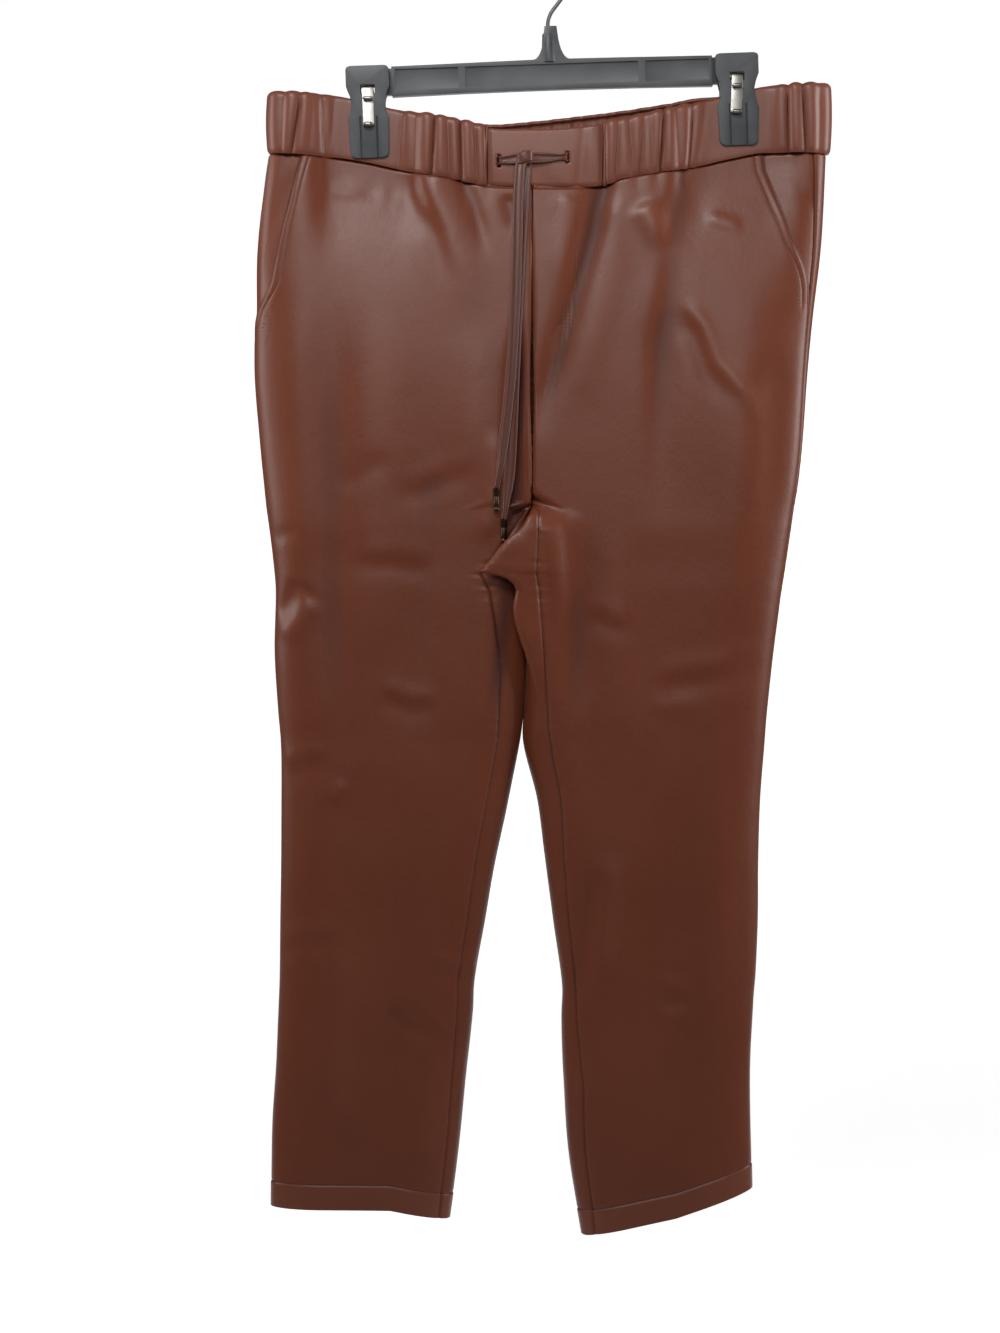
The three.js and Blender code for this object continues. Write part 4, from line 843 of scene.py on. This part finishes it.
# Cloth over some of the outline of one side, with its folds, seam edges and puckers.
def clothPoints(side, heights, columns, span, under=0.0, seams=(1.0, 1.0), puckers=(0.0, 0.0), middle=None,
                rows=None):
    base, edges, places = [], [], []
    for z in heights:
        ring = outline(side, z)
        start, end = span(ring)
        walked = spreadOut(end - start, columns)
        base.append(formPoints(ring, start + walked))
        edges.append(np.minimum(walked, 60))
        places.append(end - start - walked)
    base, fromStart, fromEnd = np.array(base), np.array(edges), np.array(places)
    normals = gridNormals(base, side)
    frontDepth = np.array([outline(side, z)["front"] for z in heights])[:, None]
    backDepth = np.array([outline(side, z)["back"] for z in heights])[:, None]
    height = creaseField(base, frontDepth, backDepth)
    z, level = base[..., 2], np.array(heights)[:, None]
    above = ease(cloth["crotch"] - 2, cloth["crotch"] + 7, level)
    atStart, atEnd = (1 - above, 1) if middle == "start" else (1, 1 - above) if middle == "end" else (1, 1)
    deep = seamLook["groove"]
    groove = seams[0] * bell(fromStart, deep) * atStart + seams[1] * bell(fromEnd, deep) * atEnd
    tuck = cloth["tuck"][1] * ease(cloth["waistLevel"] - 1.6, cloth["waistLevel"] + 1.0, level)
    ripple = np.sin(2 * math.pi * z / 8.6 + 1.3 * np.sin(z / 19)) + 0.5 * np.sin(2 * math.pi * z / 5.3)
    ladder = 1 + seamLook["ladder"] * bell(level - seamLook["ladderLevel"], seamLook["ladderHeight"])
    nearStart, nearEnd = seamLook["puckerReach"]
    pucker = ripple * (puckers[0] * ladder * bell(fromStart, nearStart)
                       + puckers[1] * bell(fromEnd, nearEnd))
    pressedIn = rows(side, level, fromStart, fromEnd) if rows else 0
    if under == 0:  # the turned-up hem: a second layer above the edge, and its stitched line
        hem = cloth["hemLevel"] + cloth["hemDepth"]
        layer = seamLook["hemLayer"] * ease(hem + 0.4, hem - 1.6, level)
        pressedIn = pressedIn + seamLook["hemLine"] * bell(level - hem, 0.9) - layer
    points = base + normals * (height - groove + pucker - pressedIn - tuck - under)[..., None]
    if middle:  # both sides meet at the foot of the valley of the middle seam
        inner = np.array([outline(side, row)["inner"] for row in heights])[:, None]
        shut = 1 - above * (1 - ease(0, cloth["closed"], fromStart if middle == "start" else fromEnd))
        points[..., 0] = inner + (points[..., 0] - inner) * shut
    # Painted shade along the foot of the middle seam's valley, in the crease value only.
    valley = above * bell(fromStart if middle == "start" else fromEnd, seamLook["valley"]) if middle else 0
    # Painted shade in the strip beside the left inseam, in the crease value only.
    line = hollowPaint["x"] + hollowPaint["lean"] * (z - hollowPaint["level"])
    hollowShade = hollowPaint["depth"] * bell(points[..., 0] - line, hollowPaint["width"])
    hollowShade = hollowShade * ease(*hollowPaint["foot"], z) * ease(*hollowPaint["top"], z) * (side < 0)
    # Besides the fold height, the crease value carries painted shade along the seam grooves, the stitch
    # lines, the hem line and the waist tuck, and a painted highlight over the turned-up hem.
    return points, height - groove * 4.5 + pucker - 7.0 * pressedIn - valley - 1.2 * tuck - hollowShade


def clothPiece(name, points, crease, side, finish, wall, node):
    bm = gridMesh(points, turned=side > 0, crease=crease)
    piece = thicken(finished(name, bm, finish), wall)
    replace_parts(piece, node)
    return piece


def frontSpan(ring):
    seam = sideSeamLength(ring) - cloth["seamGap"] / 2
    if ring["z"] > pocketEnds[ring["side"]] - 6:
        closing = float(ease(pocketEnds[ring["side"]] + 58, pocketEnds[ring["side"]] - 2, ring["z"]))
        seam = min(pocketLength(ring), seam) * (1 - closing) + seam * closing
    turned = cloth["turnIn"] if ring["z"] > cloth["crotch"] else 0
    return inseamLength(ring) + cloth["seamGap"] / 2 - turned, seam


def backSpan(ring):
    side, z = ring["side"], ring["z"]
    thigh = max(float(straightAt(sections, "thigh", z)), cloth["valley"])
    corner = lengthAtX(ring, ring["inner"] + side * max(0.1, thigh * 0.8), "back")
    under = min(max((cloth["backRise"] - z) / (cloth["backRise"] - cloth["crotch"]), 0), 1)
    inseam = ring["total"] + inseamLength(ring) - cloth["seamGap"] / 2
    end = corner + (inseam - corner) * under + cloth["turnIn"] * (under < 0.5)
    return sideSeamLength(ring) + cloth["seamGap"] / 2, end


def bearerSpan(ring):
    start = min(pocketLength(ring), sideSeamLength(ring)) - 10
    return start, sideSeamLength(ring) + 5


# The lines that stitching presses into the front: along the pocket's edge and the middle seam.
def frontRows(side, level, fromStart, fromEnd):
    pocket = ease(pocketEnds[side] - 4, pocketEnds[side] + 4, level)
    lines = 0.5 * pocket * (np.exp(-((fromEnd - 1.7) / 0.8) ** 2) + np.exp(-((fromEnd - 8.2) / 0.8) ** 2))
    if side < 0:
        lines = lines + 0.4 * ease(-470, -460,
                                   level) * np.exp(-((fromStart - 8.2 - cloth["turnIn"]) / 0.9) ** 2)
    return lines


surfaces = {}
for side in (-1, 1):
    label = sideNames[side]
    points, crease = clothPoints(side, rowHeights(), 88, frontSpan, seams=(0.9, 0.8), puckers=(0.26, 0.05),
                                 middle="start", rows=frontRows)
    surfaces["front", side] = points
    clothPiece("front_" + label, points, crease, side, panelLeather, cloth["wall"],
               "front_panel_" + label)
    points, crease = clothPoints(side, rowHeights(), 100, backSpan, seams=(0.8, 0.9), puckers=(0.05, 0.2),
                                 middle="end")
    surfaces["back", side] = points
    clothPiece("back_" + label, points, crease, side, panelLeather, cloth["wall"],
               "back_panel_" + label)
    points, crease = clothPoints(side, rowHeights(bearerEnds[side]), 24, bearerSpan, under=1.6, seams=(0, 0))
    surfaces["bearer", side] = points
    clothPiece("pocket_cloth_" + label, points, crease, side, panelLeather, 1.0,
               "pocket_bearer_" + label)
print("stage: panels")


# ---- mock fly, a J-shaped layer stitched to the right front
def treeOf(points):
    bm = gridMesh(points)
    tree = BVHTree.FromBMesh(bm)
    bm.free()
    return tree


trees = {key: treeOf(points) for key, points in surfaces.items()}
flyEdge = byColumn("z x", [(-194, 27.5), (-258, 24), (-305, 23), (-322, 21), (-340, 17), (-356, 12),
                           (-370, 7), (-382, 0), (-390, -6), (-396, -13)])


def onFace(x, z, side, face="front"):
    toBack = 1 if face == "front" else -1
    hit = trees[face, side].ray_cast(Vector((x, -toBack * 200, z)) * mm, Vector((0, toBack, 0)))
    if hit[0] is None:
        near = trees[face, side].find_nearest(Vector((x, -toBack * 20, z)) * mm)
        return np.array(near[0]) / mm, np.array(near[1]) * (1 if near[1].y * toBack < 0 else -1)
    return np.array(hit[0]) / mm, np.array(hit[1]) * (1 if hit[1].y * toBack < 0 else -1)


def flyPiece():
    heights = [-196.2, -196.9, *np.linspace(-199, -393, 56), -394.4, -395.4]
    rows = []
    for z in heights:
        start = outline(1, z)["inner"] + 0.9
        end = max(float(straightAt(flyEdge, "x", z)), start + 2.5)
        row = []
        for walked in spreadOut(end - start, 22):
            point, normal = onFace(start + walked, z, 1)
            row.append(point + normal * 0.55)
        rows.append(row)
    points = np.array(rows)
    surfaces["fly", 1] = points
    clothPiece("fly_layer", points, np.zeros(points.shape[:2]), 1, panelLeather, 0.6,
               "mock_fly")


flyPiece()


# ---- waistband
def bandPoints(stops, shares, front):
    base = []
    for share in shares:
        row = []
        for side, length in stops:
            x, y = along(outline(side, cloth["bandLevel"]), length)
            top = smoothAt(waist, "top" if front(side, length) else "backTop", x)
            foot = smoothAt(waist, "seam" if front(side, length) else "backSeam", x)
            row.append((x, float(pressed(x, y, clips["jawBottom"])), top + (foot - top) * share))
        base.append(row)
    return np.array(base)


# Rounded top edge, a slight swell over the elastic and a pinched seam at the foot.
def bandSwell(shares):
    top = 1 - np.sqrt(1 - (1 - np.clip(shares / 0.05, 0, 1)) ** 2)
    foot = np.exp(-((1 - shares) / 0.028) ** 2)
    return band["puff"] * np.sin(math.pi * np.clip(shares, 0.02, 0.98)) - band["roll"] * top - 1.5 * foot


def elasticPiece():
    stops = []
    for side in (-1, 1):
        ring = outline(side, cloth["bandLevel"])
        edge = band["flat"][0] if side < 0 else band["flat"][1]
        start = lengthAtX(ring, edge, "front")
        end = lengthAtX(ring, ring["inner"] + side * (cloth["valley"] + 0.2), "back")
        run = [(side, length) for length in np.linspace(start, end, band["columns"] // 2)]
        stops += run if side < 0 else run[::-1][1:]
    shares = np.array([0, 0.006, 0.018, 0.036, 0.06, *np.linspace(0.1, 0.93, band["rows"] - 8), 0.965, 0.985,
                       1])
    isFront = lambda side, length: length < outline(side, cloth["bandLevel"])["outer"]
    base = bandPoints(stops, shares, isFront)
    across = np.gradient(base[0], axis=0)
    normals = np.stack([across[:, 1], -across[:, 0], np.zeros(len(across))], -1)
    normals /= np.linalg.norm(normals, axis=1)[:, None]
    outward = np.where(base[0][:, 1] < 0, -1, 1)
    flip = np.sign(normals[:, 1] * outward)
    flip = np.where(np.abs(normals[:, 1]) < 0.3, np.sign(normals[:, 0] * base[0][:, 0]), flip)
    normals *= flip[:, None]
    x = base[..., 0]
    side = np.array([stop[0] for stop in stops])
    front = np.array([isFront(*stop) for stop in stops])
    share = shares[:, None]
    height = np.zeros(x.shape)
    for place, depth, width, lean in band["pleats"]:
        near = np.exp(-(((x - place - lean * (share - 0.35)) / width) ** 2))
        height -= front * 1.35 * depth * near * (0.5 + 0.5 * ease(0.0, 0.3, share))
        height += front * 0.4 * depth * np.exp(-(((x - place - 2.4 * width)
                                                  / (1.4 * width)) ** 2)) * (1 - 0.4 * share)
        height += front * 0.25 * depth * np.exp(-(((x - place + 2.2 * width)
                                                   / (1.2 * width)) ** 2)) * (1 - 0.4 * share)
    for place, depth, width, lean, _ in backGathers:
        near = np.exp(-(((x - place - lean * (share - 0.5)) / width) ** 2))
        height -= (~front) * 1.15 * depth * near * (0.55 + 0.45 * ease(0.0, 0.3, share))
    flutter = 0.3 * np.sin(x / 2.9 + 2.1 * share) * (1 - share) ** 2
    free = 1 - nearClips(x, clips["smooth"])
    height = (height + flutter) * free
    form = bandSwell(shares)[:, None] * (1 - 0.75 * nearClips(x, clips["smooth"]))
    points = base + normals[None] * (height + form)[..., None]
    # pleats pull the top edge down
    points[..., 2] += 0.45 * np.clip(height, -3, 1.5) * (1 - ease(0, 0.3, share))
    surfaces["elastic", 0] = points
    # The pleat heights also go to the crease value, which paints shade in the pleats and a highlight on the
    # puffs between them.
    bm = gridMesh(points, crease=height)
    bmesh.ops.recalc_face_normals(bm, faces=bm.faces)
    piece = thicken(finished("waistband_gathered", bm, bandLeather), band["wall"])
    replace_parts(piece, "waistband_elastic")
    return piece


slits = {"left": (-42.4, -173.6), "right": (15.6, -171.0), "width": 3.0, "height": 11.0}


def flatBandPiece():
    # columns meet the side edges of both slits, so that the slits can be cut out
    low, high = band["flat"][0] + 0.3, band["flat"][1] - 0.3
    marks = [low, low + 0.5, low + 1.2, high - 1.2, high - 0.5, high]
    for x, _ in (slits["left"], slits["right"]):
        marks += [x - slits["width"] / 2, x, x + slits["width"] / 2]
    marks += [x for x in np.arange(low + 2.4, high - 2, 1.6) if min(abs(x - mark) for mark in marks) > 0.9]
    marks = np.array(sorted(marks))
    shares = np.array([0, 0.006, 0.018, 0.036, 0.06, *np.linspace(0.1, 0.93, 34), 0.965, 0.985, 1])
    top, foot = smoothAt(waist, "top", marks), smoothAt(waist, "seam", marks)
    depth = np.full(len(marks), -outline(1, cloth["bandLevel"])["front"])
    base = np.array([np.stack([marks, depth, top + (foot - top) * share], -1) for share in shares])
    x, z = base[..., 0], base[..., 2]
    height = 0.45 * np.exp(-((x - 36) / 5) ** 2) - 0.7 * np.exp(-((x - 28 - 0.1 * (z + 170)) / 4) ** 2)
    height += 0.5 * np.sin(x / 7.4 + z / 31) * ease(-150, -190,
                                                    z) - 0.8 * np.exp(-((x + 22) / 5) ** 2) * ease(-176, -190,
                                                                                                   z)
    for edge in (low, high):
        height -= 1.3 * np.exp(-((x - edge) / 2.2) ** 2)
    points = base.copy()
    points[..., 1] -= height + bandSwell(shares)[:, None]
    surfaces["flat", 0] = points
    # Its heights also go to the crease value, which the leather paints as shade and highlight.
    bm = gridMesh(points, turned=True, crease=height)
    for x, z in (slits["left"], slits["right"]):
        inside = [face for face in bm.faces if abs(face.calc_center_median().x / mm - x) < slits["width"] / 2
                  and abs(face.calc_center_median().z / mm - z) < slits["height"] / 2]
        bmesh.ops.delete(bm, geom=inside, context="FACES")
    piece = thicken(finished("waistband_plain", bm, bandLeather), band["wall"])
    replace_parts(piece, "waistband_front")
    return piece


elasticPiece()
flatBandPiece()
print("stage: waistband")


# ---- stitching, laid on the finished cloth
stitch = {"long": 2.5, "thick": 0.5, "pitch": 3.3, "sunk": 0.1}


def stitchRow(bm, line, tree):
    line = catmull(line, 8)
    walked = np.concatenate([[0], np.cumsum(np.linalg.norm(np.diff(line, axis=0), axis=1))])
    for at in np.arange(stitch["pitch"] / 2, walked[-1], stitch["pitch"]):
        centre = np.array([np.interp(at, walked, line[:, k]) for k in range(3)])
        ahead = np.array([np.interp(at + 1, walked, line[:, k]) for k in range(3)])
        spot, normal, _, _ = tree.find_nearest(Vector(centre) * mm)
        if spot is None:
            continue
        outward = Vector((0, -1 if centre[1] < 0 else 1, 0))
        if normal.dot(outward) < 0:
            normal = -normal
        run = Vector(ahead - centre)
        run = (run - normal * run.dot(normal)).normalized()
        side = normal.cross(run)
        made = bmesh.ops.create_uvsphere(bm, u_segments=6, v_segments=4, radius=0.5)["verts"]
        for vert in made:
            local = vert.co.copy()
            vert.co = spot + normal * (stitch["sunk"] * mm) + (run * local.z * stitch["long"]
                                                               + side * local.x * stitch["thick"]
                                                               + normal * local.y * stitch["thick"]) * mm


def stitches():
    for side in (-1, 1):
        label = sideNames[side]
        bm = bmesh.new()
        for inset in (1.7, 8.2):  # two rows beside the pocket's edge
            line = []
            for z in np.linspace(-182, pocketEnds[side] + 2, 26):
                ring = outline(side, z)
                line.append(formPoints(ring, np.array([min(pocketLength(ring), sideSeamLength(ring))
                                                       - inset]))[0])
            stitchRow(bm, line, trees["front", side])
        for face in ("front", "back"):
            ring = outline(side, cloth["hemLevel"] + cloth["hemDepth"])
            span = frontSpan(ring) if face == "front" else backSpan(ring)
            line = [formPoints(ring, np.array([length]))[0] for length in np.linspace(span[0] + 2,
                                                                                      span[1] - 2, 40)]
            stitchRow(bm, line, trees[face, side])
        finished("stitches_" + label, bm, thread)
    bm = bmesh.new()
    for off, lowest, which in ((-1.6, -462, -1), (-8.4, -458, -1)):  # double row beside the middle seam
        line = [onFace(-14 + off, z, which)[0] for z in np.linspace(-199, lowest, 40)]
        stitchRow(bm, line, trees["front", which])
    heights = np.linspace(-198, -392, 40)
    line = [onFace(float(straightAt(flyEdge, "x", z)) - 1.6, z, 1)[0] for z in heights]
    tree = treeOf(surfaces["fly", 1])
    stitchRow(bm, line, tree)
    finished("stitches_middle", bm, thread)


stitches()
print("stage: stitching")


# ---- the hanger: bevelled copies of the CAD solids, and a round wire for the hook
hangerParts = {"hanger_bar": (0.0009, plastic, "hanger_plastic")}
for label in ("left", "right"):
    for face in ("front", "back"):
        hangerParts["clip_" + label + "_" + face] = (0.0008, plastic, "hanger_plastic")
for label in ("left", "right"):
    hangerParts["clip_spring_" + label] = (0.00022, springSteel, "spring_steel")


def moulded(node, width, finish):
    bm = bmesh.new()
    bm.from_mesh(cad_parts[node].data)
    bmesh.ops.remove_doubles(bm, verts=bm.verts, dist=1e-5)
    bmesh.ops.dissolve_limit(bm, angle_limit=math.radians(3), verts=bm.verts, edges=bm.edges)
    sharp = [edge for edge in bm.edges
             if len(edge.link_faces) == 2 and edge.calc_face_angle() > math.radians(32)]
    bmesh.ops.bevel(bm, geom=sharp, offset=width, offset_type="OFFSET", segments=3, profile=0.5,
                    affect="EDGES", clamp_overlap=True, material=-1)
    bmesh.ops.triangulate(bm, faces=[face for face in bm.faces if len(face.verts) > 4])
    piece = finished(node + "_moulded", bm, finish, flat=40)
    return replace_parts(piece, node)


for node, (width, finish, slot) in hangerParts.items():
    moulded(node, width, finish)


springRoll = {"drop": 11, "radius": 1.7, "share": 0.8, "lipRise": 1.2, "lipRadius": 2.1, "lipShare": 0.86}


# The rolled knuckle of the spring below the slot, and the curled lip at its foot.
def springDetails(label):
    corners = [vert.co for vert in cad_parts["clip_spring_" + label].data.vertices]
    low = [min(corner[k] for corner in corners) / mm for k in range(3)]
    high = [max(corner[k] for corner in corners) / mm for k in range(3)]
    middle, front = (low[0] + high[0]) / 2, low[1]
    wide = (high[0] - low[0]) * springRoll["share"]
    bm = bmesh.new()
    rolls = [(middle, high[2] - springRoll["drop"], springRoll["radius"], wide),
             (middle, low[2] + springRoll["lipRise"], springRoll["lipRadius"], wide * springRoll["lipShare"])]
    for x, z, radius, long in rolls:
        path = np.array([(x + along, front + 0.3, z) for along in np.linspace(-long / 2, long / 2, 7)])
        rounded = lambda t: (1 - 0.35 * abs(2 * t - 1) ** 6,) * 2
        part = gridMesh(tubePoints(path, ovalSection(2 * radius, 2 * radius, 18, 1.0), scale=rounded),
                        loop=True, caps=True)
        mesh = bpy.data.meshes.new("roll")
        part.to_mesh(mesh)
        part.free()
        bm.from_mesh(mesh)
        bpy.data.meshes.remove(mesh)
    return finished("spring_rolls_" + label, bm, springSteel, flat=50)


for label in ("left", "right"):
    springDetails(label)

hook = {"wire": 3.3, "inner": 17.4, "stemX": -1.9, "bendZ": -50.6, "slope": 54.7, "foot": -79.1, "tilt": 1.95,
        "sides": 20}


def hookPiece():
    radius = hook["inner"] + hook["wire"] / 2
    lean = math.radians(90 - hook["slope"])
    join = np.array((radius * math.cos(lean), 0, -hook["inner"] - radius * math.sin(lean)))
    bend = np.array((hook["stemX"], 0, hook["bendZ"]))
    foot = np.array((hook["stemX"], 0, hook["foot"]))
    points = [foot, (foot + bend) / 2, bend - (0, 0, 4), bend + (join - bend) * 0.18,
              bend + (join - bend) * 0.5]
    for a in np.linspace(-lean, math.pi + 0.25, 22):
        points.append((radius * math.cos(a), 0, -hook["inner"] + radius * math.sin(a)))
    path = catmull(points, 5)
    turn = math.radians(-hook["tilt"])
    x, z = path[:, 0].copy(), path[:, 2] + hook["inner"]
    path[:, 0] = x * math.cos(turn) + z * math.sin(turn)
    path[:, 2] = z * math.cos(turn) - x * math.sin(turn) - hook["inner"]
    section = ovalSection(hook["wire"], hook["wire"], hook["sides"], 1.0)
    rounded = lambda t: (1, 1) if t < 0.985 else (math.sqrt(max(0.02, 1 - ((t - 0.985) / 0.015) ** 2)),) * 2
    bm = gridMesh(tubePoints(path, section, scale=rounded), loop=True, caps=True)
    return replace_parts(finished("hook_wire", bm, wireSteel, flat=60), "hanger_hook")


hookPiece()
print("stage: hanger")


# ---- floor, backdrop and light
def backdrop():
    low, depth, rise, bend = -1.36, 5.0, 3.0, 1.0
    profile = [(-6.0, low), (depth - bend, low)]
    profile += [(depth - bend + bend * math.sin(a),
                 low + bend - bend * math.cos(a)) for a in np.linspace(0.15, math.pi / 2, 10)]
    profile.append((depth, rise))
    points = np.array([[(x / mm, y / mm, z / mm) for x in np.linspace(-6, 6, 9)] for y, z in profile])
    bm = gridMesh(points)
    mesh = bpy.data.meshes.new("backdrop")
    bm.to_mesh(mesh)
    bm.free()
    sweep = bpy.data.objects.new("backdrop", mesh)
    scene.collection.objects.link(sweep)
    mesh.shade_smooth()
    # Painted light: the paper glows where it lies behind the trousers and hardly at all in front or far to
    # the sides, so it stays white and lights them from behind.
    paper = Finish("glowing pale paper", Roughness=0.9, Emission_Strength=0.8)
    tone = paper.noise(2.0, 2)
    across, behind, up = (paper.node("ShaderNodeSeparateXYZ", output=k,
                                     Vector=paper.place()) for k in range(3))
    glow = paper.clamp(behind, 0.2, 0.5) * paper.clamp(paper.maths("ABSOLUTE", across, 0.0), 2.6,
                                                       1.6) * paper.clamp(up, 1.8, 1.2)
    paper.feed(Emission_Color=paper.blend(glow, (0.01, 0.01, 0.01, 1), (1, 1, 1, 1)))
    mesh.materials.append(paper.feed(Base_Color=paper.blend(tone, (0.93, 0.93, 0.93, 1),
                                                            (0.96, 0.96, 0.96, 1))))


def lamp(name, place, target, size, power, spread):
    data = bpy.data.lights.new(name, "AREA")
    data.shape, data.energy, data.spread = "RECTANGLE", power, math.radians(spread)
    data.size, data.size_y = size
    light = bpy.data.objects.new(name, data)
    light.location = place
    light.rotation_euler = (Vector(target) - Vector(place)).to_track_quat("-Z", "Y").to_euler()
    scene.collection.objects.link(light)


backdrop()
lamp("key", (-0.45, -1.35, 0.75), (-0.05, 0, -0.25), (0.9, 0.5), 3.4, 80)
lamp("front card", (0.1, -2.6, 0.35), (0, 0, -0.15), (2.0, 0.7), 1.7, 60)
lamp("left edge", (-1.5, -0.2, -0.1), (-0.2, 0, -0.3), (0.4, 1.1), 3.6, 120)
lamp("right edge", (1.45, -0.2, -0.1), (0.15, 0, -0.3), (0.4, 1.1), 6.0, 120)
world = bpy.data.worlds.new("studio")
world.use_nodes = True
world.node_tree.nodes["Background"].inputs["Color"].default_value = (1, 1, 1, 1)
world.node_tree.nodes["Background"].inputs["Strength"].default_value = 0.05
scene.world = world
scene.view_settings.view_transform = "Standard"
print("stage: light")
